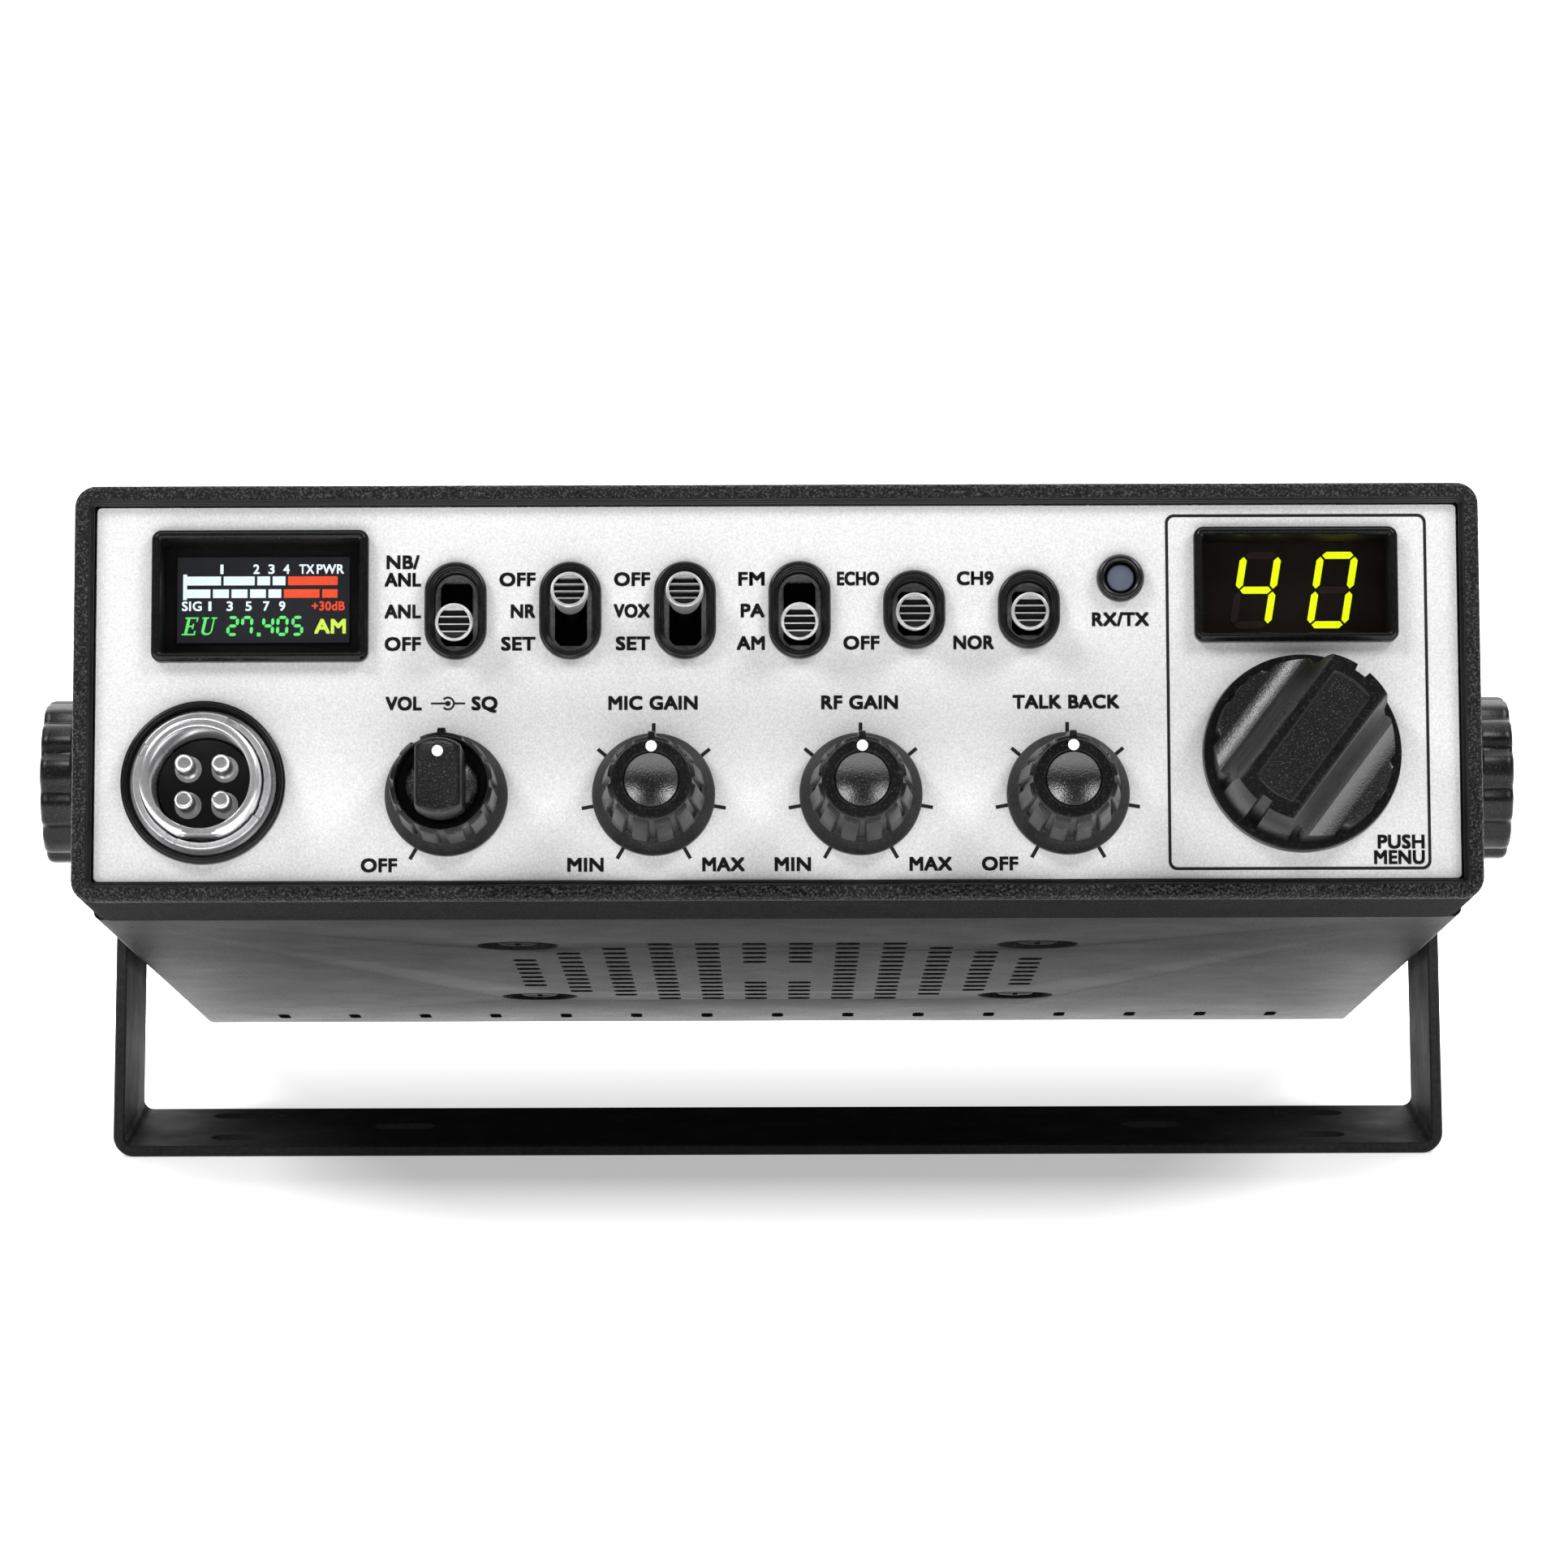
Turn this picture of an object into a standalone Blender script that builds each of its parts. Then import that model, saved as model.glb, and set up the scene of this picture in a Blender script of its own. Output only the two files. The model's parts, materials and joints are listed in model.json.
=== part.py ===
"""A mobile transceiver in its tilting bracket, as separate pieces.

Run with: blender --background --python part.py

Sizes are in millimetres, and every mesh is scaled to metres when it is made. The radio is drawn in its
own frame: x to the right, y from the front face backwards, z up from mid-height. Its frame is a child
of the tilt axis, so the whole radio leans back in the bracket, which stands at the world's origin.
"""

import math

import bmesh
import bpy
from mathutils import Vector
from mathutils.geometry import tessellate_polygon

MM = 0.001
GAP = 0.3  # clearance between neighbouring pieces

# Case
CASE_W = 186.0
CASE_H = 55.5
CASE_D = 188.0
BEZEL_D = 24.3
BEZEL_R = 2.9
COVER_INSET = 0.35
SHEET = 1.0
SEAM_Z = 12.0

# Stand
TILT = math.radians(15.0)
PIVOT_Y = 94.0
PIVOT_HEIGHT = 53.4
STRIP_W = 29.0
STRIP_T = 1.6
BASE_HALF = 97.3
BEND_R = 3.0
ARM_LEAN = math.radians(2.0)

# Front panel
PANEL_Y = 1.5
PANEL_T = 1.2
PANEL_W = 180.5
PANEL_H = 50.2
WALL_FRONT = 3.0
WALL_BACK = 5.5
BEHIND_WALL = WALL_BACK + GAP

# Controls along the front: x positions of the two rows, and their heights
SWITCH_PITCH = 15.17
SWITCH_X0 = -42.5
SWITCH_Z = 10.95
DIAL_PITCH = 27.3
DIAL_X0 = -43.6
DIAL_Z = -13.7
CHANNEL_X = 69.13
CHANNEL_Z = -8.55
CHANNEL_TURN = math.radians(37.0)
SOCKET_X = -75.7
SOCKET_Z = -11.9
LAMP_X = 45.5
LAMP_Z = 15.1
COLOUR_X = -68.35
COLOUR_Z = 12.95
DIGITS_X = 68.7
DIGITS_Z = 14.15

# Lever switches
TALL_H = 13.05
SHORT_H = 10.54
TRIM_W = 8.25
LEVER_PIVOT_Y = 8.0
TALL_SWING = math.radians(11.0)
SHORT_SWING = math.radians(4.6)

# Knob grooves: how many, and the angles either side of each one where it starts and where it is full depth
GROOVES = 12
GROOVE_EDGE = math.radians(5.2)
GROOVE_FLOOR = math.radians(3.8)

# Shafts
SHAFT_R = 2.0
SHAFT_END = 13.7
CHANNEL_SHAFT_R = 3.0
BOARD_Y = 21.0

BLACK = (0.03, 0.03, 0.032)
STEEL = (0.62, 0.63, 0.64)


# ---------------------------------------------------------------- outlines

def circle(radius, count, centre=(0.0, 0.0)):
    """Points of a circle, starting at the top."""
    turns = [math.tau * i / count for i in range(count)]
    return [(centre[0] + radius * math.sin(a), centre[1] + radius * math.cos(a)) for a in turns]


def arc(centre, radius, start, end, steps):
    """Points of an arc between two angles, in radians from +x."""
    angles = [start + (end - start) * i / steps for i in range(steps + 1)]
    return [(centre[0] + radius * math.cos(a), centre[1] + radius * math.sin(a)) for a in angles]


def rectangle(width, height, centre=(0.0, 0.0)):
    w, h = width / 2, height / 2
    x, y = centre
    return [(x - w, y - h), (x + w, y - h), (x + w, y + h), (x - w, y + h)]


def rounded(width, height, radius, steps=3, centre=(0.0, 0.0)):
    """A rectangle with round corners; with radius = width / 2 it is a slot."""
    w, h = width / 2 - radius, height / 2 - radius
    points = []
    for quarter, (sx, sy) in enumerate([(1, 1), (-1, 1), (-1, -1), (1, -1)]):
        corner = (centre[0] + sx * w, centre[1] + sy * h)
        points += arc(corner, radius, quarter * math.pi / 2, (quarter + 1) * math.pi / 2, steps)
    return [p for i, p in enumerate(points) if math.dist(p, points[i - 1]) > 1e-6]


def lobed(radius, depth, count):
    """A circle of 2 * count points, every second one pressed in."""
    points = []
    for i in range(2 * count):
        r = radius - depth * (i % 2)
        angle = math.tau * i / (2 * count)
        points.append((r * math.sin(angle), r * math.cos(angle)))
    return points


def fluted(radius, depth=0.0, pointer=0.0):
    """A circle with eleven narrow grooves; a pointer stands out at the top, where the twelfth would be."""
    points = []
    for groove in range(GROOVES):
        floor = radius + pointer if groove == 0 else radius - depth
        middle = math.tau * groove / GROOVES
        corners = [(-GROOVE_EDGE, radius), (-GROOVE_FLOOR, floor)]
        corners += [(GROOVE_FLOOR, floor), (GROOVE_EDGE, radius)]
        for offset, r in corners:
            points.append((r * math.sin(middle + offset), r * math.cos(middle + offset)))
    return points


def bar_shape(radius, half_width, count):
    """A disc cut by two parallel sides: a bar whose ends are arcs of the disc."""
    points = []
    for i in range(count):
        angle = math.tau * (i + 0.5) / count
        side = abs(math.sin(angle))
        r = min(radius, half_width / side)
        points.append((r * math.sin(angle), r * math.cos(angle)))
    return points


def moved(loop, dx, dy):
    return [(x + dx, y + dy) for x, y in loop]


# ---------------------------------------------------------------- solids

AXES = {
    "x": lambda a, b, h: (h, a, b),
    "y": lambda a, b, h: (a, h, b),
    "z": lambda a, b, h: (a, b, h),
}


class Solid:
    """One closed body, made of flat caps with holes and of skins between outlines."""

    def __init__(self, axis="y"):
        self.bm = bmesh.new()
        self.at = AXES[axis] if isinstance(axis, str) else axis

    def vert(self, point, height):
        return self.bm.verts.new(self.at(point[0], point[1], height))

    def cap(self, height, outline, *holes):
        loops = [outline, *holes]
        verts = [self.vert(p, height) for loop in loops for p in loop]
        flat = [[Vector((a, b, 0)) for a, b in loop] for loop in loops]
        for triangle in tessellate_polygon(flat):
            self.bm.faces.new([verts[i] for i in triangle])

    def skin(self, h0, loop0, h1, loop1=None):
        loop1 = loop1 or loop0
        low = [self.vert(p, h0) for p in loop0]
        high = [self.vert(p, h1) for p in loop1]
        for i in range(len(low)):
            self.bm.faces.new([low[i - 1], low[i], high[i], high[i - 1]])

    def face(self, *points):
        self.bm.faces.new([self.bm.verts.new(p) for p in points])

    def block(self, h0, h1, loop):
        self.cap(h0, loop)
        self.skin(h0, loop, h1)
        self.cap(h1, loop)

    def sides(self, steps):
        """Skins through a list of (height, outline) steps."""
        for (h0, loop0), (h1, loop1) in zip(steps, steps[1:]):
            self.skin(h0, loop0, h1, loop1)

    def turned(self, profile, count):
        """A closed body from (height, radius) steps, from its rear end to its front end."""
        steps = [(h, circle(r, count)) for h, r in profile]
        self.cap(*steps[0])
        self.sides(steps)
        self.cap(*steps[-1])

    def ring(self, profile, count):
        """A closed ring from (height, radius) steps that go all the way round its section."""
        steps = [(h, circle(r, count)) for h, r in profile]
        self.sides([*steps, steps[0]])

    def object(self, name, look, parent, location=(0, 0, 0), turn=(0, 0, 0)):
        bm = self.bm
        bmesh.ops.remove_doubles(bm, verts=bm.verts, dist=1e-4)
        bmesh.ops.recalc_face_normals(bm, faces=bm.faces)
        if bm.calc_volume(signed=True) < 0:
            bmesh.ops.reverse_faces(bm, faces=bm.faces)
        bmesh.ops.scale(bm, vec=(MM, MM, MM), verts=bm.verts)
        mesh = bpy.data.meshes.new(name)
        bm.to_mesh(mesh)
        bm.free()
        mesh.shade_smooth()
        mesh.set_sharp_from_angle(angle=math.radians(30))
        mesh.materials.append(finish(name, *look))
        obj = bpy.data.objects.new(name, mesh)
        bpy.context.collection.objects.link(obj)
        obj.parent = parent
        obj.location = [v * MM for v in location]
        obj.rotation_euler = turn
        return obj


def finish(name, colour, roughness, metallic=0.0):
    material = bpy.data.materials.new(name + "_finish")
    material.use_nodes = True
    shader = material.node_tree.nodes["Principled BSDF"]
    shader.inputs["Base Color"].default_value = (*colour, 1.0)
    shader.inputs["Roughness"].default_value = roughness
    shader.inputs["Metallic"].default_value = metallic
    return material


def empty(name, parent, location, turn=(0, 0, 0)):
    obj = bpy.data.objects.new(name, None)
    bpy.context.collection.objects.link(obj)
    obj.parent = parent
    obj.location = [v * MM for v in location]
    obj.rotation_euler = turn
    return obj


PLASTIC = (BLACK, 0.55)
GLOSSY = (BLACK, 0.3)
PAINT = ((0.045, 0.045, 0.047), 0.5)
CHROME = ((0.8, 0.8, 0.8), 0.15, 1.0)
ZINC = (STEEL, 0.4, 1.0)
PLATED_BLACK = (BLACK, 0.35, 0.6)
BOARD = ((0.05, 0.2, 0.1), 0.6)
GLASS = ((0.02, 0.02, 0.02), 0.08)


# ---------------------------------------------------------------- stand

def arm_frame(side):
    """Maps (across, along the arm, inward) to the leaning arm on one side of the bracket."""
    bend_x = BASE_HALF - BEND_R * math.tan((math.pi / 2 + ARM_LEAN) / 2)
    out = (math.cos(ARM_LEAN), math.sin(ARM_LEAN))
    up = (-math.sin(ARM_LEAN), math.cos(ARM_LEAN))

    def place(across, along, inward):
        reach = BEND_R - inward
        x = bend_x + reach * out[0] + along * up[0]
        z = BEND_R + reach * out[1] + along * up[1]
        return (side * x, across, z)

    return place


def bracket():
    """A strip bent into a U: slotted base, two bends and two leaning arms with round ends."""
    solid = Solid("z")
    half = STRIP_W / 2
    bend_x = BASE_HALF - BEND_R * math.tan((math.pi / 2 + ARM_LEAN) / 2)
    base = rectangle(2 * bend_x, STRIP_W)
    slots = []
    for side in (-1, 1):
        slots.append(rounded(9.0, 4.4, 2.2, 3, (side * 55.5, 0.0)))
        slots.append(rounded(10.2, 4.4, 2.2, 3, (side * 79.5, 8.5)))
        slots.append(rounded(8.0, 4.4, 2.2, 3, (side * 79.5, -8.0)))
    for height in (0.0, STRIP_T):
        solid.cap(height, base, *slots)
    for slot in slots:
        solid.skin(0.0, slot, STRIP_T)
    for y in (-half, half):
        solid.face((-bend_x, y, 0), (bend_x, y, 0), (bend_x, y, STRIP_T), (-bend_x, y, STRIP_T))

    mid_reach = BEND_R - STRIP_T / 2
    lift = (PIVOT_HEIGHT - BEND_R - mid_reach * math.sin(ARM_LEAN)) / math.cos(ARM_LEAN)
    arm = [(-half, 0.0), (half, 0.0)] + arc((0, lift), half, 0, math.pi, 10)
    hole = circle(3.1, 12, (0, lift))
    bend_steps = 4
    turn = math.pi / 2 + ARM_LEAN
    for side in (-1, 1):
        section = []
        for i in range(bend_steps + 1):
            angle = -math.pi / 2 + turn * i / bend_steps
            ray = (math.cos(angle), math.sin(angle))
            pair = [(side * (bend_x + r * ray[0]), BEND_R + r * ray[1]) for r in (BEND_R, BEND_R - STRIP_T)]
            section.append(pair)
        for (out0, in0), (out1, in1) in zip(section, section[1:]):
            for a, b in ((out0, out1), (in0, in1)):
                solid.face((a[0], -half, a[1]), (b[0], -half, b[1]), (b[0], half, b[1]), (a[0], half, a[1]))
            for y in (-half, half):
                solid.face(*[(p[0], y, p[1]) for p in (out0, out1, in1, in0)])
        solid.at = arm_frame(side)
        for inward in (0.0, STRIP_T):
            solid.cap(inward, arm, hole)
        solid.skin(0.0, hole, STRIP_T)
        for a, b in zip(arm[1:], arm[2:] + arm[:1]):
            solid.face(*[solid.at(*p, h) for p, h in ((a, 0), (b, 0), (b, STRIP_T), (a, STRIP_T))])
    solid.object("mounting_bracket", PAINT, None)


def side_knob(name, side, radio):
    """A thumb knob: stud, flange and scalloped grip, drawn along +x and turned for the left side."""
    count = 24
    solid = Solid("x")
    stud, flange = circle(2.3, count), circle(12.4, count)
    grip = [lobed(12.3 - cut, 1.0, count // 2) for cut in (0.0, 0.0, 1.2)]
    steps = [(86.5, stud), (96.4, stud), (96.4, flange), (102.6, flange), (103.0, grip[0]), (106.2, grip[1])]
    steps.append((107.4, grip[2]))
    solid.cap(*steps[0])
    solid.sides(steps)
    solid.cap(*steps[-1])
    turn = (0, 0, 0) if side > 0 else (0, 0, math.pi)
    solid.object(name, PLASTIC, radio, (0, PIVOT_Y, 0), turn)


def washer(name, side, radio):
    solid = Solid("x")
    low, high = side * 92.9, side * 93.2
    solid.ring([(low, 3.0), (high, 3.0), (high, 6.5), (low, 6.5)], 12)
    solid.object(name, (BLACK, 0.8), radio, (0, PIVOT_Y, 0))


# ---------------------------------------------------------------- case

def cover(name, radio, top):
    """A sheet bent into a U. The bottom one carries the grille, the screw dimples and the vents."""
    up = 1 if top else -1
    outer_x = CASE_W / 2 - COVER_INSET
    inner_x = outer_x - SHEET
    outer_z = up * (CASE_H / 2 - COVER_INSET + 0.2)
    inner_z = outer_z - up * SHEET
    rim = SEAM_Z + (0.15 if top else -0.15)
    front, back = BEZEL_D + GAP, CASE_D
    depth, middle = back - front, (front + back) / 2
    corner = 1.0
    solid = Solid("z")
    outer = rectangle(2 * (outer_x - corner), depth, (0, middle))
    inner = rectangle(2 * inner_x, depth, (0, middle))
    slots, dimples = ([], []) if top else (bottom_slots(), screw_places())
    for slot in slots:
        solid.skin(outer_z, slot, inner_z)
    dish, bump, bore, rise = (circle(r, 12) for r in (6.0, 6.8, 1.8, 7.3))
    floor, crown = outer_z + 1.6, inner_z + 1.6
    for x, y in dimples:
        solid.skin(outer_z, moved(dish, x, y), floor)
        solid.cap(floor, moved(dish, x, y), moved(bore, x, y))
        solid.skin(floor, moved(bore, x, y), crown)
        solid.cap(crown, moved(bump, x, y), moved(bore, x, y))
        solid.skin(inner_z, moved(rise, x, y), crown, moved(bump, x, y))
    solid.cap(outer_z, outer, *slots, *[moved(dish, x, y) for x, y in dimples])
    solid.cap(inner_z, inner, *slots, *[moved(rise, x, y) for x, y in dimples])
    stud = circle(3.4, 12, (PIVOT_Y, 0))
    for side in (-1, 1):
        solid.at = AXES["x"]
        z_out = outer_z - up * corner
        wall_out = [(front, z_out), (back, z_out), (back, rim), (front, rim)]
        wall_in = [(front, inner_z), (back, inner_z), (back, rim), (front, rim)]
        holes = [] if top else [stud]
        solid.cap(side * outer_x, wall_out, *holes)
        solid.cap(side * inner_x, wall_in, *holes)
        for hole in holes:
            solid.skin(side * outer_x, hole, side * inner_x)
        solid.face(*[(side * x, y, rim) for x, y in
                     ((outer_x, front), (outer_x, back), (inner_x, back), (inner_x, front))])
        solid.face(*[(side * x, y, z) for x, y, z in
                     ((outer_x - corner, front, outer_z), (outer_x - corner, back, outer_z),
                      (outer_x, back, z_out), (outer_x, front, z_out))])
    solid.at = AXES["y"]
    left = [(-inner_x, rim), (-outer_x, rim), (-outer_x, z_out), (-outer_x + corner, outer_z)]
    right = [(-x, z) for x, z in reversed(left)]
    section = left + right + [(inner_x, inner_z), (-inner_x, inner_z)]
    for y in (front, back):
        solid.cap(y, section)
    solid.object(name, PAINT, radio)


def bottom_slots():
    """The speaker grille's columns, in an octagon, and the row of vents at the back edge."""
    slots = []
    pitch, middle = 6.67, 103.3
    half_lengths = [42.8, 42.8, 42.8, 35.9, 28.6, 21.6]
    for column, half in enumerate(half_lengths):
        for side in (-1, 1):
            x = side * pitch * (column + 0.5)
            if column == 0:
                gap = 13.4
                for end in (-1, 1):
                    slots.append(rectangle(3.4, half - gap, (x, middle + end * (half + gap) / 2)))
            else:
                slots.append(rectangle(3.4, 2 * half, (x, middle)))
    vents = 15
    for i in range(vents):
        slots.append(rectangle(2.0, 10.0, ((i - vents // 2) * 11.3, 174.5)))
    return slots


def screw_places():
    return [(side * 36.8, y) for side in (-1, 1) for y in (62.2, 142.4)]


def bottom_screws(radio):
    """Four pan-head screws in the dimples; they hold the speaker."""
    names = ["bottom_screw_left_front", "bottom_screw_left_rear",
             "bottom_screw_right_front", "bottom_screw_right_rear"]
    for name, (x, y) in zip(names, screw_places()):
        solid = Solid("z")
        solid.turned([(-27.4, 2.5), (-27.0, 3.2), (-26.3, 3.2), (-26.3, 1.45), (-19.0, 1.45)], 10)
        solid.object(name, PLATED_BLACK, radio, (x, y, 0))


def bezel(radio):
    """The deep front moulding: a frame around the panel, and a wall behind it with every cut-out."""
    solid = Solid("y")
    outline = rounded(CASE_W, CASE_H, BEZEL_R, 3)
    lip = rounded(CASE_W - 0.8, CASE_H - 0.8, BEZEL_R - 0.4, 3)
    pocket = rounded(PANEL_W + 0.7, PANEL_H + 0.7, 1.0, 2)
    room = rounded(CASE_W - 5.0, CASE_H - 5.0, 1.5, 2)
    holes = wall_holes()
    solid.cap(0.0, lip, pocket)
    solid.skin(0.0, lip, 0.5, outline)
    solid.skin(0.5, outline, BEZEL_D)
    solid.skin(0.0, pocket, WALL_FRONT)
    solid.cap(WALL_FRONT, pocket, *holes)
    for hole in holes:
        solid.skin(WALL_FRONT, hole, WALL_BACK)
    solid.cap(WALL_BACK, room, *holes)
    solid.skin(WALL_BACK, room, BEZEL_D)
    solid.cap(BEZEL_D, outline, room)
    solid.object("front_bezel", PLASTIC, radio)


def panel(radio):
    solid = Solid("y")
    outline = rounded(PANEL_W, PANEL_H, 0.7, 2)
    holes = wall_holes()
    for y in (PANEL_Y, PANEL_Y + PANEL_T):
        solid.cap(y, outline, *holes)
    for loop in (outline, *holes):
        solid.skin(PANEL_Y, loop, PANEL_Y + PANEL_T)
    solid.object("front_panel", ((0.72, 0.72, 0.73), 0.45, 0.3), radio)


def wall_holes():
    """The cut-outs that the panel and the bezel's wall share."""
    holes = [slot_hole(i) for i in range(6)]
    holes.append(rectangle(27.8, 16.7, (COLOUR_X, COLOUR_Z)))
    holes.append(rectangle(26.1, 14.6, (DIGITS_X, DIGITS_Z)))
    holes.append(circle(2.85, 10, (LAMP_X, LAMP_Z)))
    holes.append(circle(8.3, 20, (SOCKET_X, SOCKET_Z)))
    holes += [circle(4.3, 10, (dial_x(i), DIAL_Z)) for i in range(4)]
    holes.append(circle(4.8, 10, (CHANNEL_X, CHANNEL_Z)))
    return holes


def switch_x(index):
    return SWITCH_X0 + index * SWITCH_PITCH


def switch_height(index):
    """The first four switches have three positions, and the last two have two."""
    return TALL_H if index < 4 else SHORT_H


def slot_hole(index):
    height = switch_height(index) - 0.6
    width = TRIM_W - 0.6
    return rounded(width, height, width / 2, 2, (switch_x(index), SWITCH_Z))


def dial_x(index):
    return DIAL_X0 + index * DIAL_PITCH


def chassis(radio):
    """A box frame of sheet steel: front wall, two side walls with threaded bosses, and rear panel."""
    solid = Solid("z")
    wall, half_h = 1.2, 25.4
    front, back = BEZEL_D + 2 * GAP + 0.3, CASE_D - 0.8
    outer_x = CASE_W / 2 - COVER_INSET - SHEET - 0.35
    inner_x = outer_x - wall
    outer = rectangle(2 * outer_x, back - front, (0, (front + back) / 2))
    inner = rectangle(2 * inner_x, back - front - 2 * wall, (0, (front + back) / 2))
    for z in (-half_h, half_h):
        solid.cap(z, outer, inner)
    solid.at = AXES["x"]
    bore, boss = circle(2.7, 12, (PIVOT_Y, 0)), circle(5.0, 12, (PIVOT_Y, 0))
    boss_end = inner_x - 5.5
    for side in (-1, 1):
        solid.cap(side * outer_x, side_wall(front, back, half_h), bore)
        solid.cap(side * inner_x, side_wall(front + wall, back - wall, half_h), boss)
        solid.skin(side * inner_x, boss, side * boss_end)
        solid.cap(side * boss_end, boss, bore)
        solid.skin(side * boss_end, bore, side * outer_x)
    solid.at = AXES["y"]
    window = [rectangle(140.0, 34.0)]
    rear = [circle(7.4, 16, (-62, 2)), rectangle(16.6, 11.6, (-34, 2)),
            circle(3.9, 12, (-12, 2)), circle(3.9, 12, (6, 2))]
    for y0, y1, holes in ((front, front + wall, window), (back, back - wall, rear)):
        solid.cap(y0, rectangle(2 * outer_x, 2 * half_h), *holes)
        solid.cap(y1, rectangle(2 * inner_x, 2 * half_h), *holes)
        for hole in holes:
            solid.skin(y0, hole, y1)
    solid.object("chassis_frame", ZINC, radio)


def side_wall(front, back, half_h):
    return [(front, -half_h), (back, -half_h), (back, half_h), (front, half_h)]


# ---------------------------------------------------------------- inside

def populated(solid, level, board, parts, base):
    """Caps a board at one level, with blocks standing on it; each part is (outline, height)."""
    solid.cap(level, board, *[loop for loop, _ in parts])
    for loop, height in parts:
        solid.skin(level, loop, height)
        solid.cap(height, loop)
    solid.skin(level, board, base)
    solid.cap(base, board)


def main_board(radio):
    solid = Solid("z")
    parts = [
        (rectangle(26, 20, (-58, 150)), 12.0),
        (rectangle(13, 13, (-20, 120)), 6.0),
        (rectangle(13, 13, (-2, 120)), 6.0),
        (rectangle(30, 22, (40, 140)), 3.0),
        (circle(6.0, 12, (66, 110)), 14.0),
        (circle(6.0, 12, (66, 90)), 14.0),
        (rectangle(24, 24, (0, 75)), -3.0),
        (rectangle(40, 10, (-45, 60)), 2.0),
    ]
    populated(solid, -4.8, rectangle(164, 130, (0, 112)), parts, -6.4)
    solid.object("main_board", BOARD, radio)


def control_board(radio):
    """The board behind the controls. The six switch housings stand on it, each with its pocket."""
    solid = Solid("y")
    board = rectangle(174, 46)
    houses = []
    for i in range(6):
        centre = (switch_x(i), SWITCH_Z)
        tall = switch_height(i) + 1.4
        houses.append(rectangle(8.6, tall, centre))
        pocket = rectangle(6.4, tall - 3.0, centre)
        mouth, floor = 6.5, 11.2
        solid.skin(BOARD_Y, houses[-1], mouth)
        solid.cap(mouth, houses[-1], pocket)
        solid.skin(mouth, pocket, floor)
        solid.cap(floor, pocket)
    solid.cap(BOARD_Y, board, *houses)
    solid.skin(BOARD_Y, board, BOARD_Y + 1.6)
    solid.cap(BOARD_Y + 1.6, board)
    solid.object("control_board", BOARD, radio)


def heat_sink(radio):
    """A finned aluminium block against the rear panel."""
    solid = Solid("z")
    left, right, root, tip, back = 20.0, 80.0, 180.0, 168.0, 185.3
    fins = 9
    pitch = (right - left - 2.0) / (fins - 1)
    comb = [(right, back), (left, back)]
    for i in range(fins):
        x = left + i * pitch
        comb += [(x, root), (x, tip), (x + 2.0, tip), (x + 2.0, root)]
    comb = [p for i, p in enumerate(comb) if math.dist(p, comb[i - 1]) > 1e-6]
    solid.block(-3.5, 22.0, comb)
    solid.object("heat_sink", ((0.7, 0.7, 0.72), 0.4, 1.0), radio)


SPEAKER_Y = 102.3


def speaker(radio):
    """The loudspeaker faces down at the grille: a basket with its magnet, and the paper cone in it."""
    count = 16
    basket = Solid("z")
    plate = rectangle(82.0, 90.0)
    ears = [circle(1.8, 8, (x, y - SPEAKER_Y)) for x, y in screw_places()]
    mouth = circle(36.0, count)
    low, high = -24.7, -23.5
    basket.cap(low, plate, mouth, *ears)
    basket.skin(low, plate, high)
    for ear in ears:
        basket.skin(low, ear, high)
    shoulder = circle(37.2, count)
    basket.cap(high, plate, shoulder, *ears)
    outside = [(high, shoulder), (-15.0, circle(24.0, count)), (-15.0, circle(21.0, count))]
    outside.append((-7.2, circle(21.0, count)))
    basket.sides(outside)
    basket.cap(*outside[-1])
    inside = [(low, mouth), (high, circle(35.6, count)), (-16.5, circle(22.0, count))]
    basket.sides(inside)
    basket.cap(*inside[-1])
    basket.object("speaker_basket", ZINC, radio, (0, SPEAKER_Y, 0))

    cone = Solid("z")
    under = [(-24.4, circle(34.8, count)), (-19.6, circle(12.0, count)), (-20.6, circle(6.0, count))]
    over = [(-24.0, circle(34.8, count)), (-19.0, circle(12.0, count)), (-18.6, circle(6.0, count))]
    cone.sides(under)
    cone.cap(*under[-1])
    cone.sides(over)
    cone.cap(*over[-1])
    cone.skin(under[0][0], under[0][1], over[0][0])
    cone.object("speaker_cone", ((0.05, 0.05, 0.05), 0.9), radio, (0, SPEAKER_Y, 0))


def potentiometer(name, x, bore, bush, radio):
    """A round case behind the wall and a threaded bush through it, bored for the shaft."""
    solid = Solid("y")
    front, rear = PANEL_Y - 0.2, 15.5
    profile = [(front, bore), (front, bush), (BEHIND_WALL, bush)]
    profile += [(BEHIND_WALL, 7.6), (rear, 7.6), (rear, bore)]
    solid.ring(profile, 16)
    solid.object(name, ZINC, radio, (x, 0, DIAL_Z))


def encoder(radio):
    solid = Solid("y")
    front, rear, bush, bore = PANEL_Y - 0.2, 18.0, 4.3, CHANNEL_SHAFT_R + 0.35
    profile = [(front, bore), (front, bush), (BEHIND_WALL, bush)]
    profile += [(BEHIND_WALL, 7.0), (rear, 7.0), (rear, bore)]
    solid.ring(profile, 16)
    solid.object("channel_encoder", ZINC, radio, (CHANNEL_X, 0, CHANNEL_Z))
    plunger = Solid("y")
    plunger.turned([(19.0, 2.0), (17.0, 2.0), (17.0, CHANNEL_SHAFT_R), (14.0, CHANNEL_SHAFT_R)], 16)
    plunger.object("channel_plunger", ((0.7, 0.7, 0.68), 0.5), radio, (CHANNEL_X, 0, CHANNEL_Z))


# ---------------------------------------------------------------- displays

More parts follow.
